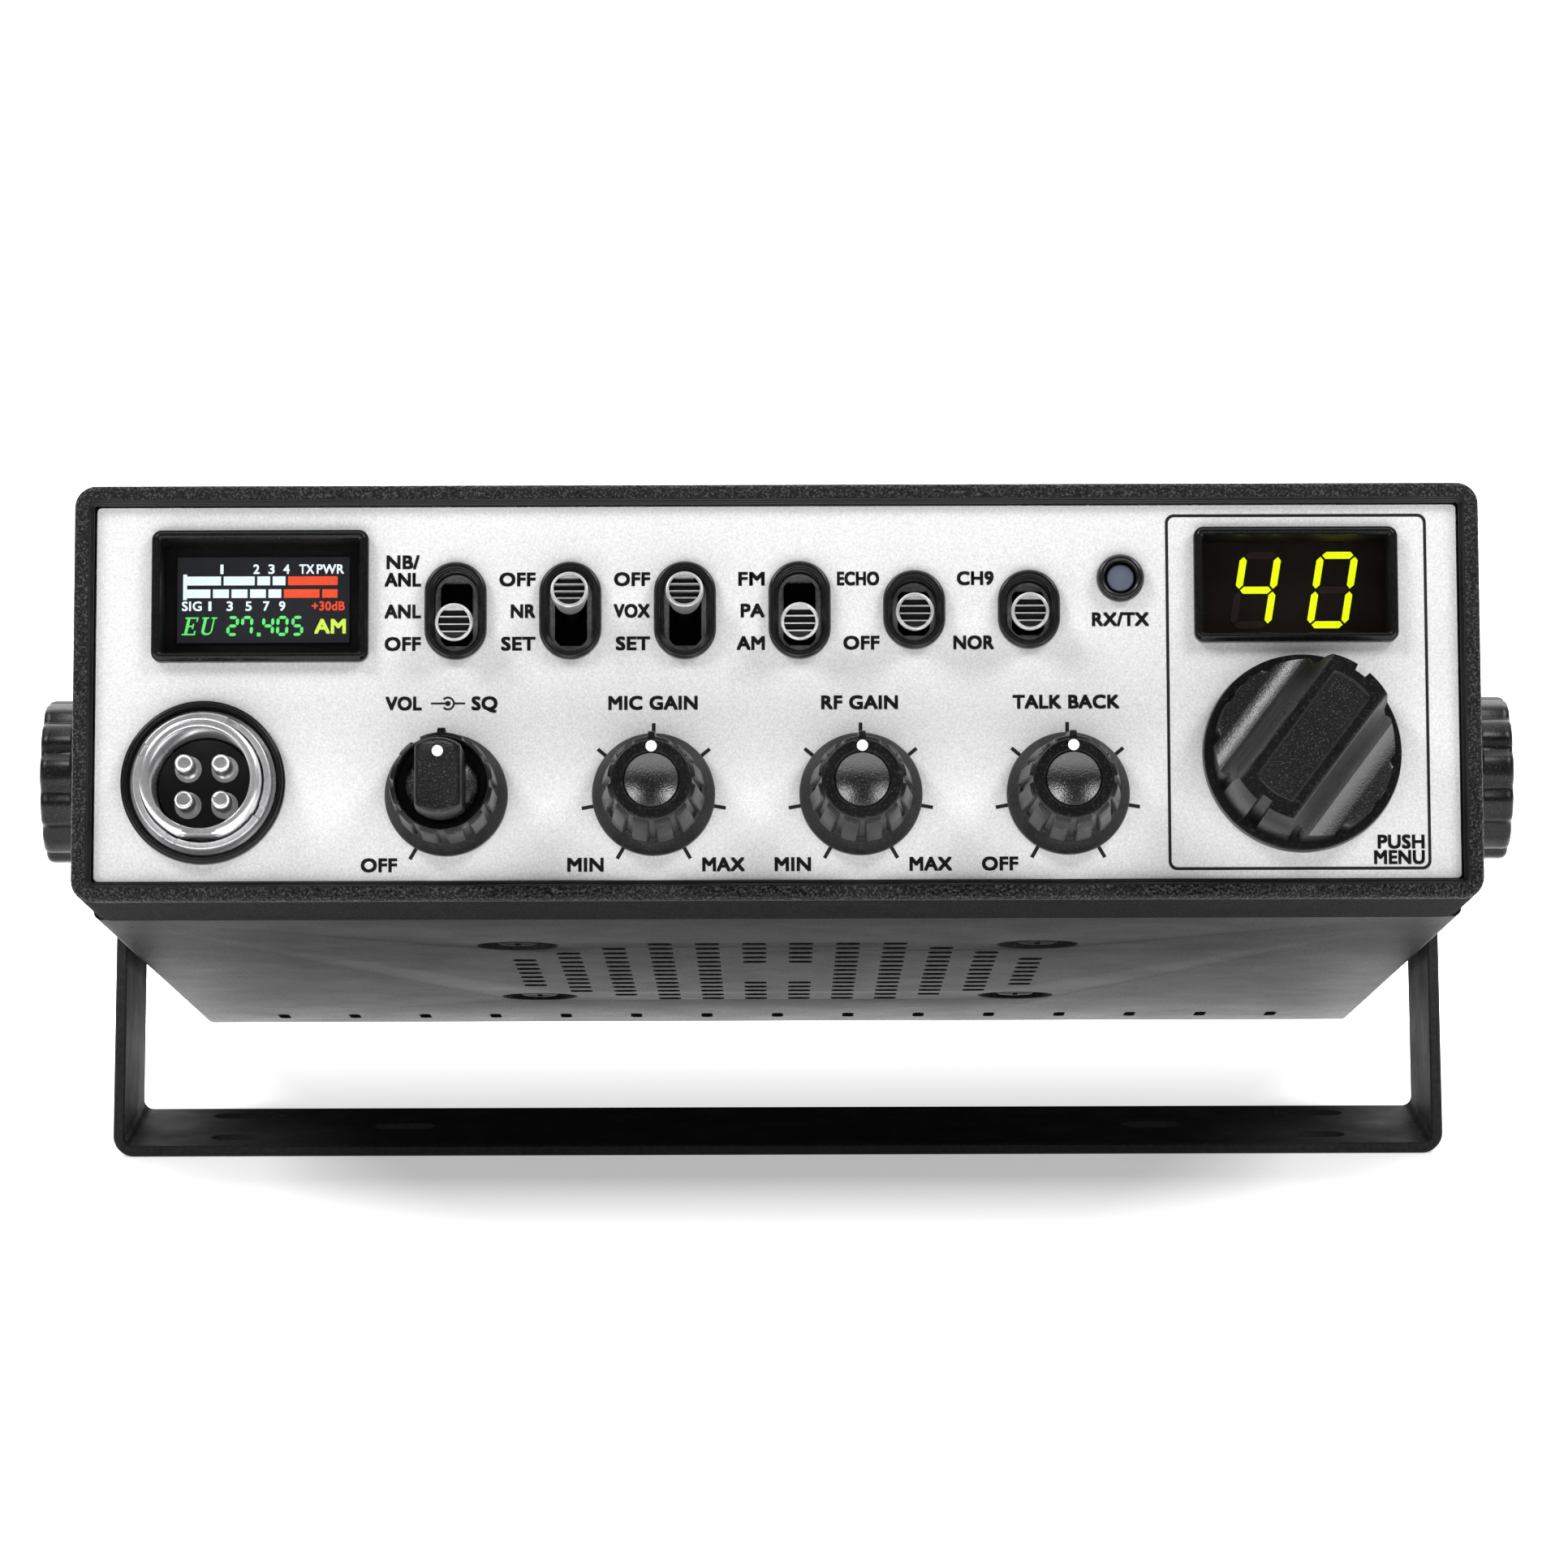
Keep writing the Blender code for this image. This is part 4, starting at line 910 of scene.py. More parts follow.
def colour_picture():
    """The colour display: two bar meters with their scales, a frequency and the mode."""
    at = across("tft_lens")[0]
    width, height = 22.9, 11.55
    left, top = at[0] - width / 2, at[1] + 6.05
    depth = span("tft_module")[0].y - 0.02
    back = Drawing(depth)
    back.box(left, top - height, left + width, top)
    back.piece("tft_backlight", [glowing("screen_backlight", (0.013, 0.014, 0.019), 1.0)])

    picture = Drawing(depth - 0.05)
    white, red, green, yellow = range(4)
    gap = 0.35

    def meter(rise, thick, ticks, red_from):
        for start, end in zip(ticks, ticks[1:]):
            picture.look = red if start >= red_from else white
            picture.box(left + start + gap / 2, top - rise - thick, left + end - gap / 2, top - rise)

    meter(2.6, 1.2, [1.1, 5.97, 10.45, 12.5, 14.55, 21.5], 14.0)
    meter(4.34, 1.16, [1.1, 4.56, 7.03, 9.5, 11.95, 14.0, 19.1, 21.5], 13.5)
    picture.look = white
    picture.box(left + 0.76, top - 5.76, left + 1.28, top - 2.33)
    cap, thin = 1.2, 0.04
    for word, x, wide in (("1", 5.9, 0.42), ("2", 10.5, 0.85), ("3", 12.5, 0.85), ("4", 14.5, 0.85),
                          ("TX", 17.2, 2.0), ("PWR", 20.35, 3.65)):
        picture.text(word, left + x, top - 1.63, cap, wide, thin)
    for word, x, wide in (("SIG", 1.94, 2.65), ("1", 4.34, 0.42), ("3", 6.98, 0.85), ("5", 9.48, 0.85),
                          ("7", 11.84, 0.85), ("9", 13.96, 0.85)):
        picture.text(word, left + x, top - 6.6, cap, wide, thin)
    picture.look = red
    picture.text("+30dB", left + 20.1, top - 6.6, cap - 0.05, 4.4, thin)
    picture.look = green
    region_letters(picture, left + 0.6, top - 10.5)
    digit_middle = top - 9.27
    for mark, x in (("2", 7.4), ("7", 9.3), ("4", 12.1), ("0", 14.0), ("5", 16.0)):
        seven_segments(picture, (left + x, digit_middle), 1.62, 2.7, 0.42, 0.04, DIGITS[mark])
    dot_x, dot_z = left + 10.87, digit_middle - 1.15
    picture.box(dot_x - 0.25, dot_z - 0.25, dot_x + 0.25, dot_z + 0.25)
    picture.look = yellow
    picture.text("AM", left + 20.35, top - 9.34, 1.8, 4.2, 0.09)
    looks = [glowing("screen_white", (0.8, 0.94, 1.0), 1.2), glowing("screen_red", (1.0, 0.1, 0.035), 1.0),
             glowing("screen_green", (0.16, 1.0, 0.22), 0.95),
             glowing("screen_yellow", (0.75, 1.0, 0.12), 1.0)]
    picture.piece("tft_picture", looks)


def region_letters(drawing, x, z):
    """The region's two letters, in a slanted typeface with serifs; (x, z) is their lower left corner."""
    cap, stem, hair, serif, slant = 2.4, 0.4, 0.2, 0.26, 0.22

    def leaning_box(x0, z0, x1, z1):
        corners_of_box = [(x0, z0), (x1, z0), (x1, z1), (x0, z1)]
        drawing.polygon([(x + px + pz * slant, z + pz) for px, pz in corners_of_box])

    foot, wide, short, tick = 0.3, 1.75, 1.35, 0.6
    leaning_box(foot, 0.0, foot + stem, cap)
    for start, level, reach in ((0.0, 0.0, wide), (foot, cap / 2 - hair / 2, short), (0.0, cap - hair, wide)):
        leaning_box(start, level, reach, level + hair)
    leaning_box(wide - hair, 0.0, wide, tick)
    leaning_box(wide - hair, cap - tick, wide, cap)
    leaning_box(short - hair, cap / 2 - 0.35, short, cap / 2 + 0.35)
    left, right, bowl = 2.5, 3.75, 0.6
    leaning_box(left, bowl, left + stem, cap)
    leaning_box(right, bowl, right + hair, cap)
    leaning_box(left - serif, cap - hair, left + stem + serif, cap)
    leaning_box(right - serif, cap - hair, right + hair + serif, cap)
    middle, outer = (left + right + hair) / 2, (right + hair - left) / 2
    inner = (right - left - stem) / 2
    inner_middle = (left + stem + right) / 2
    steps = 10
    turns = [math.pi + math.pi * i / steps for i in range(steps + 1)]
    outside = [(middle + outer * math.cos(a), bowl * (1 + math.sin(a))) for a in turns]
    inside = [(inner_middle + inner * math.cos(a), bowl + (bowl - hair * 1.3) * math.sin(a)) for a in turns]
    drawing.band(*[[(x + px + pz * slant, z + pz) for px, pz in path] for path in (outside, inside)],
                 closed=False)


def channel_digits():
    """Two large yellow digits. The unlit segments show faintly."""
    depth = span("digit_module")[0].y + 0.2
    at = across("digit_module")[0]
    digits = Drawing(depth)
    for mark, x in (("4", at[0] - 4.9), ("0", at[0] + 5.34)):
        seven_segments(digits, (x, at[1] + 0.05), 5.5, 10.3, 0.95, 0.168, DIGITS[mark], unlit_look=1)
    looks = [glowing("digit_yellow", (0.84, 1.0, 0.0), 1.2),
             glowing("digit_unlit", (0.008, 0.002, 0.0005), 1.0)]
    digits.piece("channel_digits", looks)


# ---------------------------------------------------------------- lamp and switches

def lamp():
    at = across("rx_tx_trim")[0]
    low, high = span("rx_tx_trim")
    ring = Solid()
    ring.lathe([(high.y, 2.08), (0.7, 2.08, 0.2), (0.2, 2.2, 0.15), (low.y, 2.5, 0.2),
                (low.y + 0.1, 2.85, 0.2), (low.y + 0.7, 3.16, 0.2), (TRIM_SEAT, 3.16), (TRIM_SEAT, 2.5),
                (high.y, 2.5)], 64, at, closed=True)
    ring.piece("rx_tx_trim", [TRIM_BLACK], "trim_plastic")
    low, high = span("rx_tx_lamp")
    lens = Solid()
    lens.lathe([(high.y, 2.4), (6.4, 2.4), (6.4, 1.82), (1.0, 1.82, 0.2), (0.85, 1.65, 0.1), (0.8, 0.01)],
               48, at)
    lens.piece("rx_tx_lamp", [LAMP_LENS], "lamp")


def switch_trim(name):
    """An oval bush: rounded flange, straight inner wall."""
    node = name + "_switch_trim"
    at, width, height = across(node)
    low, high = span(node)
    profile = soften([(high.y, 1.18), (1.1, 1.18, 0.3), (low.y + 0.35, 1.1, 0.12), (low.y + 0.3, 0.98, 0.08),
                      (low.y, 0.8, 0.1), (low.y, 0.3, 0.15), (low.y + 0.4, 0.0, 0.2), (TRIM_SEAT, 0.0),
                      (TRIM_SEAT, 0.75), (high.y, 0.75), (high.y, 1.18)])
    solid = Solid()
    solid.follow(profile, drawn_in(width, height, width / 2, 0.0, 16, at))
    solid.piece(node, [TRIM_BLACK], "trim_plastic")
    switch_gate(name, at, width, height, high.y)


def switch_gate(name, at, width, height, back):
    """The stamped plate deep in the bush: a rectangular slot for the lever with a raised bead round it."""
    plate, bead_front, sheet = back - 1.9, back - 2.5, 0.5
    edge = oval(width - 2.4, height - 2.4, at, 10)
    bead_out, bead_in = (oval(width - 2 * inset, height - 2 * inset, at, 10) for inset in (1.35, 1.75))
    slot = rounded(4.3, height - 4.5, 0.15, 2, at)
    gate = Solid()
    gate.cap(plate, edge, bead_out)
    gate.sides([(plate, bead_out), (bead_front, bead_out), (bead_front, bead_in), (plate, bead_in)])
    gate.cap(plate, bead_in, slot)
    gate.skin(plate, slot, plate + sheet)
    gate.cap(plate + sheet, edge, slot)
    gate.skin(plate + sheet, edge, plate)
    gate.finish(name + "_switch_gate", [DARK_METAL])


def lever(name):
    """A plated lever whose tip is cut across with black grooves."""
    node = name + "_lever"
    joint = JOINTS[name + "_switch"]
    rest = -math.radians(sum(joint["range_deg"]) / 2)
    pivot = INTO_RADIO @ Vector(joint["pos_m"])
    count = 64
    tip, rim = -11.5, 2.5
    solid = Solid()
    body = soften([(1.5, 0.7), (0.9, 1.4, 0.4), (-0.9, 1.4, 0.4), (-2.5, 0.9), (-5.8, 1.0, 0.4),
                   (-6.8, 1.95, 0.6), (-10.0, rim - 0.07, 0.25), (-10.25, rim, 0.1), (tip + 0.2, rim, 0.15),
                   (tip, rim - 0.15, 0.1), (tip, rim - 0.4, 0.05), (tip + 0.1, rim - 0.45)])
    neck = next(i for i, (y, r) in enumerate(body) if y < -5.9)  # dark behind it, plated in front
    solid.look = 1
    solid.follow(body[:neck + 1], lambda radius: circle(radius, count), first=True)
    solid.look = 0
    solid.follow(body[neck:], lambda radius: circle(radius, count))
    face_r, floor, crest, sunk = rim - 0.45, tip + 0.7, tip + 0.12, tip + 0.1
    solid.look = 1
    solid.skin(sunk, circle(face_r, count), floor)
    solid.cap(floor, circle(face_r, count))
    solid.look = 0
    inside, foot = face_r - 0.02, floor - 0.02
    for level, half in ((-1.2, 0.085), (-0.24, 0.085), (0.74, 0.1)):
        bar = [(side * math.sqrt(inside ** 2 - (level + up * half) ** 2), level + up * half)
               for side, up in ((-1, -1), (1, -1), (1, 1), (-1, 1))]
        solid.slab(foot, crest, bar)
    crown_height, heel_depth = 1.57, 1.3
    turn = math.asin(crown_height / inside)
    solid.slab(foot, crest, arc((0, 0), inside, turn, math.pi - turn, 14))
    solid.look = 2
    turn = math.asin(heel_depth / inside)
    solid.slab(foot, crest + 0.25, arc((0, 0), inside, math.pi + turn, math.tau - turn, 14))
    place = Matrix.Translation(pivot) @ Matrix.Rotation(rest, 4, "X")
    solid.piece(node, [SATIN_METAL, DULL_BLACK_AND_SHADE, SMOOTH_BLACK], "bright_metal", place, node + "_body")


# ---------------------------------------------------------------- microphone socket

def microphone_socket():
    """The trim ring on the panel, and the four pieces of the socket in it."""
    place = facing("mic_shell")
    low = span("mic_trim_ring")[0].y
    trim = Solid()
    trim.lathe([(TRIM_SEAT, 9.6), (0.7, 9.6, 0.2), (0.35, 9.75, 0.1), (low + 0.15, 10.0, 0.15),
                (low, 10.25, 0.1), (low, 10.5, 0.12), (low + 0.55, 10.62, 0.1), (low + 0.6, 10.85, 0.1),
                (TRIM_SEAT, 10.85)], 96, closed=True)
    trim.piece("mic_trim_ring", [GLOSS_BLACK], "trim_plastic", place)
    lock_nut(place)
    microphone_shell(place)
    microphone_pins(place)


def lock_nut(place):
    """A flat ring nut with four notches for its wrench, turned a little from the upright."""
    low, high = span("mic_lock_nut")
    count, notches, turned, half = 180, 4, math.radians(28.0), math.radians(4.7)
    profile = soften([(high.y, 8.2), (low.y, 8.2, 0.1), (low.y, 9.0, 0.12), (low.y + 0.35, 9.15, 0.1),
                      (high.y, 9.15), (high.y, 8.2)])
    nut = Solid()
    rings = []
    for y, radius in profile:
        ring = []
        for i in range(count):
            angle = math.tau * i / count
            offset = (angle - turned) % (math.tau / notches)
            cut = 0.9 if min(offset, math.tau / notches - offset) < half else 0.0
            ring.append((radius * math.sin(angle), min(y + cut, high.y), radius * math.cos(angle)))
        rings.append([nut.bm.verts.new(p) for p in ring])
    for first, second in zip(rings, rings[1:]):
        for i in range(count):
            nut.add([first[i - 1], first[i], second[i], second[i - 1]])
    nut.piece("mic_lock_nut", [SATIN_METAL], "bright_metal", place)


def microphone_shell(place):
    """The threaded barrel, with a flat along its lower side."""
    low, high = span("mic_shell")
    outside = [(low.y + 0.25, 7.8)]
    for turn in range(5):
        y = low.y + 0.4 + turn * 0.75
        outside += [(y, 7.65), (y + 0.375, 7.9)]
    bore, barrel, flange = 6.65, 7.9, 9.8
    profile = [(high.y, bore), (low.y + 0.35, bore), (low.y + 0.05, 6.8), (low.y, 6.95), (low.y, 7.5),
               *outside, (WALL_BACK + 0.3, barrel), (WALL_BACK + 0.3, flange), (7.6, flange), (7.6, barrel),
               (high.y, barrel)]
    flat = 7.45
    steps = []
    for y, r in profile:
        loop = circle(r, 96)
        if r > flat and y < WALL_FRONT:
            loop = [(x, max(z, -flat)) for x, z in loop]
        steps.append((y, loop))
    shell = Solid()
    shell.sides([*steps, steps[0]])
    shell.piece("mic_shell", [CHROME], "bright_metal", place, sharp=40.0)


def microphone_pins(place):
    """The black insert with its keyway, and four pins that stand in shallow wells."""
    off = 2.425
    pins = [(sx * off, sz * off) for sx in (-1, 1) for sz in (-1, 1)]
    low, high = span("mic_insulator")
    disc = Solid()
    key = math.radians(7.6)
    edge = arc((0, 0), 6.4, -math.pi / 2 + key, 1.5 * math.pi - key, 80)
    edge += arc((0, -6.3), 0.85, math.pi * 0.98, math.pi * 0.02, 8)
    disc.slab(low.y, high.y, edge, *[circle(1.8, 32, pin) for pin in pins])
    disc.piece("mic_insulator", [SMOOTH_BLACK], "knob_plastic", place)

    low, high = span("mic_contacts")
    contacts = Solid()
    root, pin_r, collar_r = 12.4, 1.28, 1.78
    plate = circle(6.2, 64)
    contacts.cap(root, plate, *[circle(pin_r, 32, pin) for pin in pins])
    contacts.skin(root, plate, high.y)
    contacts.cap(high.y, plate)
    tip = soften([(root, pin_r), (6.35, pin_r), (6.3, collar_r), (5.75, collar_r), (5.7, pin_r),
                  (low.y, pin_r, 0.9), (low.y, 0.02)])
    for pin in pins:
        contacts.follow(tip, lambda radius: circle(radius, 32, pin), last=True)
    contacts.piece("mic_contacts", [CHROME], "zinc", place)


# ---------------------------------------------------------------- knobs

# Round the smaller knobs: degrees from the middle of a groove, and how far the grip is raised there
GRIP = {-15.0: 1.0, -10.0: 1.0, -6.4: 1.0, -5.2: 0.8, -3.7: 0.0, 0.0: 0.0, 3.7: 0.0, 5.2: 0.8, 6.4: 1.0,
        10.0: 1.0}
GRIP_STEP = 30
GRIP_POINTS = [(math.radians(step + mark), raised if step else 1.0, 0.0 if step or abs(mark) > 4.0 else 1.0)
               for step in range(0, 360, GRIP_STEP) for mark, raised in GRIP.items()]


def padded_loop(radius, pad=0.0, pointer=0.0):
    """A circle with eleven grooves between raised pads, and a pointer's ridge at the top."""
    points = []
    for angle, raised, ridge in GRIP_POINTS:
        r = radius + pad * raised + pointer * ridge
        points.append((r * math.sin(angle), r * math.cos(angle)))
    return points


def padded(solid, rows, **ends):
    """Skins along rows of (height, radius, pad, pointer)."""
    solid.follow([(height, shape) for height, *shape in rows], lambda shape: padded_loop(*shape), **ends)


SKIRT = soften([(0.85, 8.0), (0.85, 8.1, 0.05), (-0.2, 8.12, 0.2), (-0.55, 7.95, 0.3), (-1.4, 7.4, 0.7),
                (-2.6, 6.6, 0.4), (-2.95, 6.45)])


KNOB_LOOKS = [KNOB_BLACK, KNOB_ROUGH, WHITE_PAINT]


def gain_knob(name):
    """A fluted knob with a wide rim and a pressed hollow in the middle."""
    low, high = span(name)
    front, shaft = low.y, 2.0
    solid = Solid()
    edge = soften([(front + 0.55, 5.3), (front, 5.25, 0.45), (front, 4.4)])
    crease = soften([(front, 4.4), (front, 3.78, 0.08), (front + 0.24, 3.62, 0.08),
                     (front + 0.04, 3.45, 0.1)])
    rows = [(high.y, shaft), (0.85, shaft), *SKIRT, (-3.05, 6.12, 0.45, 0.3), (-3.35, 6.1, 0.7, 0.62),
            (front + 1.2, 5.32, 0.5, 0.68), (front + 0.8, 5.3, 0.42, 0.62), (front + 0.6, 5.3, 0.15, 0.3),
            (front + 0.56, 5.3), *edge, *crease]
    padded(solid, rows, first=True)
    solid.look = 1
    bowl, deep, rings = 3.45, 1.0, 9
    rim = front + 0.04
    dish = [(rim + deep * (1 - (r / bowl) ** 2), r) for r in [bowl * (1 - i / rings) for i in range(rings)]]
    padded(solid, [*dish, (rim + deep, 0.02)], last=True)
    solid.look = 2
    dot(solid, 4.4, front)
    place = facing(name.replace("_knob", "_pot"))
    solid.piece(name, KNOB_LOOKS, "knob_plastic", place, name + "_body")


def dot(solid, z, front):
    """A filled white mark above the middle, barely proud of the face."""
    solid.lathe([(front + 0.3, 0.72), (front - 0.03, 0.72), (front - 0.05, 0.6)], 28, (0.0, z))


def squelch_ring():
    """The outer concentric knob: pads outside, a smooth well inside."""
    low, high = span("squelch_ring")
    front, bore, sleeve = low.y, 1.8, 2.6
    solid = Solid()
    mouth = soften([(front + 0.27, 6.25), (front, 6.2, 0.2), (front, 5.95, 0.1), (front + 0.25, 5.85, 0.1),
                    (front + 3.8, 5.75), (front + 3.8, bore), (high.y, bore)])
    padded(solid, [(high.y, sleeve), (0.85, sleeve), *SKIRT, (-3.05, 6.42, 0.3, 0.25),
                   (-3.35, 6.4, 0.55, 0.45), (front + 1.0, 6.25, 0.5, 0.62), (front + 0.5, 6.25, 0.42, 0.55),
                   (front + 0.3, 6.25, 0.12, 0.2), (front + 0.28, 6.25), *mouth, (high.y, sleeve)])
    place = facing("volume_squelch_pot")
    solid.piece("squelch_ring", [KNOB_BLACK], "knob_plastic", place, "squelch_ring_body")


def bar_loop(radius, half_width, count=96):
    """A disc cut by two parallel sides."""
    points = []
    for i in range(count):
        angle = math.tau * (i + 0.5) / count
        r = min(radius, half_width / abs(math.sin(angle)))
        points.append((r * math.sin(angle), r * math.cos(angle)))
    return points


def volume_knob():
    """The inner concentric knob: a bar with softened edges on a rough disc."""
    low, high = span("volume_knob")
    front, shaft, disc, disc_back, disc_front = low.y, 1.5, 4.8, -9.6, -11.4
    solid = Solid()
    profile = [(high.y, shaft), (disc_back, shaft), (disc_back, disc), (disc_front + 0.2, disc),
               (disc_front, disc - 0.15)]
    disc_edge = solid.follow(profile, lambda radius: circle(radius, 96), first=True)
    solid.look = 1
    foot = disc_front - 0.5
    solid.skin(*disc_edge, foot, bar_loop(4.6, 3.2))
    solid.look = 0
    rise = [(foot, 4.6, 3.2), (-13.5, 4.95, 3.15), (-17.5, 5.0, 3.05), (front + 0.75, 4.97, 2.98),
            (front + 0.35, 4.9, 2.9), (front + 0.1, 4.72, 2.72), (front, 4.45, 2.45)]
    loops = [(y, bar_loop(r, w)) for y, r, w in rise]
    solid.sides(loops)
    inner = bar_loop(4.1, 2.1)
    solid.look = 1
    solid.skin(front, loops[-1][1], front + 0.08, inner)
    solid.cap(front + 0.08, inner)
    solid.look = 2
    dot(solid, 3.1, front + 0.08)
    place = facing("volume_squelch_pot")
    solid.piece("volume_knob", KNOB_LOOKS, "knob_plastic", place, "volume_knob_body")


def channel_knob():
    """The large knob: a skirt, a notched body, and a bar between two scoops. Drawn with its bar upright."""
    low, high = span("channel_knob")
    front = low.y
    body_r, shoulder = 11.95, -1.5
    turn = math.radians(37.0)
    solid = Solid()

    def height(s):
        """How far the face stands out, at a distance s from the bar's centre line."""
        s = abs(s)
        curve = [(0.0, front), (4.0, front), (4.3, front + 0.12), (4.45, front + 0.4), (4.62, front + 2.2),
                 (4.95, -12.6), (5.5, -10.2), (6.2, -8.3), (7.1, -6.9), (8.2, -6.0), (9.4, -5.55),
                 (12.5, -5.3)]
        for (s0, y0), (s1, y1) in zip(curve, curve[1:]):
            if s <= s1:
                return y0 + (y1 - y0) * (s - s0) / (s1 - s0)
        return curve[-1][1]

    def edge_radius(y):
        return body_r - 0.055 * (shoulder - y)

    def groove(angle):
        """How deep the rim is cut at this angle from the bar's axis; deepest in the bar's own ends."""
        turned = math.degrees(angle)
        off = abs((turned + 15) % 30 - 15)
        if abs((turned + 90) % 180 - 90) < 10:
            return 1.05 if off < 4.35 else 0.0
        return 0.7 if off < 2.7 else 0.35 if off < 3.4 else 0.0

    # distances from the centre line at which the face is sampled, closer where it bends or meets a groove
    marks = [0.0, 0.4, 0.8, 0.95, 1.6, 2.3, 2.6, 2.95, 3.5, 4.0, 4.15, 4.3, 4.38, 4.45, 4.52, 4.62, 4.75,
             4.95, 5.1, 5.25, 5.4, 5.5, 5.62, 5.8, 5.95, 6.1, 6.3, 6.6, 7.1, 7.6, 8.2, 8.8, 9.3, 9.55, 9.75,
             9.9, 10.05, 10.25, 10.45, 10.7, 10.95, 11.2, 11.4, 11.6]
    lines = [-m for m in reversed(marks[1:])] + marks
    inset_r, inset_half, inset_depth, wall_width = 8.7, 2.75, 0.4, 0.35

    def stations(s, half):
        """Places along a line across the face, with where the bar's inset ends among them."""
        end = min(math.sqrt(inset_r ** 2 - min(abs(s), inset_half) ** 2), half * 0.88)
        inside = [end * share for share in (0.0, 0.3, 0.6, 0.85, 0.97, 1.0)]
        start = end + wall_width
        outside = [start + (half - start) * share for share in (0.0, 0.3, 0.6, 0.9, 0.97)]
        depth = inset_depth if abs(s) < inset_half else 0.0
        right = [(place, depth) for place in inside] + [(place, 0.0) for place in outside]
        return [(-place, sunk) for place, sunk in reversed(right[1:])] + right

    def column(s):
        y = height(s)
        reach = edge_radius(y)
        half = math.sqrt(max(reach ** 2 - s ** 2, 0.01))
        points = []
        for end in (-1, 1):
            angle = math.atan2(s, end * half)
            cut = reach - groove(angle)
            points.append((cut * math.sin(angle), y + 0.18, cut * math.cos(angle)))
        room = math.sqrt(max(min(reach, cut) ** 2 - s ** 2, 0.01))
        inner = [(s, y + sunk, place) for place, sunk in stations(s, room)]
        return [points[0], *inner, points[1]]

    grid = [column(s) for s in lines]
    verts = [[solid.bm.verts.new(p) for p in col] for col in grid]
    rows = len(grid[0])
    for i in range(1, len(lines)):
        middle = abs(lines[i - 1] + lines[i]) / 2
        for j in range(1, rows):
            inset = middle < inset_half and 6 < j < rows - 6
            solid.look = 1 if inset or middle > 7.0 else 0
            solid.add([verts[i - 1][j - 1], verts[i][j - 1], verts[i][j], verts[i - 1][j]])
    solid.look = 0
    rim = [col[-1] for col in grid] + grid[-1][-2:0:-1]
    rim += [col[0] for col in reversed(grid)] + grid[0][1:-1]
    base = []
    for x, _, z in rim:
        angle = math.atan2(x, z)
        r = body_r - groove(angle)
        base.append((r * math.sin(angle), shoulder, r * math.cos(angle)))
    for i in range(len(rim)):
        solid.face(rim[i - 1], rim[i], base[i], base[i - 1])
    plan = [(x, z) for x, _, z in base]
    angles = [math.atan2(x, z) for x, z in plan]

    def ring(radius):
        return [(radius * math.sin(a), radius * math.cos(a)) for a in angles]

    ledge, hub = 12.3, 3.0
    skirt = soften([(shoulder, ledge), (shoulder, 13.0, 0.15), (0.1, 13.15, 0.15), (0.2, 13.0), (0.2, hub),
                    (high.y, hub)])
    solid.skin(shoulder, plan, shoulder, ring(ledge))
    solid.follow(skirt, ring, last=True)
    place = facing("channel_encoder", turn)
    solid.piece("channel_knob", [KNOB_BLACK, KNOB_ROUGH], "knob_plastic", place, "channel_knob_body", 40.0)


# ---------------------------------------------------------------- carried-over CAD pieces

def dress_cad_nodes():
    """The pieces whose CAD shape is shown get their finish."""
    looks = {
        ZINC: ["chassis_frame", "antenna_socket", "speaker_jack", "pa_jack", "speaker_basket",
               "volume_squelch_pot", "mic_gain_pot", "rf_gain_pot", "talk_back_pot", "channel_encoder"],
        ALUMINIUM: ["heat_sink"],
        BOARD: ["main_board"],
        DULL_BLACK_AND_SHADE: ["control_board"],
        PAPER: ["speaker_cone"],
        SMOOTH_BLACK: ["power_inlet"],
        RUBBER: ["left_washer", "right_washer"],
        NYLON: ["channel_plunger"],
    }
    for look, names in looks.items():
        for name in names:
            mesh = frame["nodes"][name].data
            mesh.materials.clear()
            mesh.materials.append(look)


# ---------------------------------------------------------------- studio

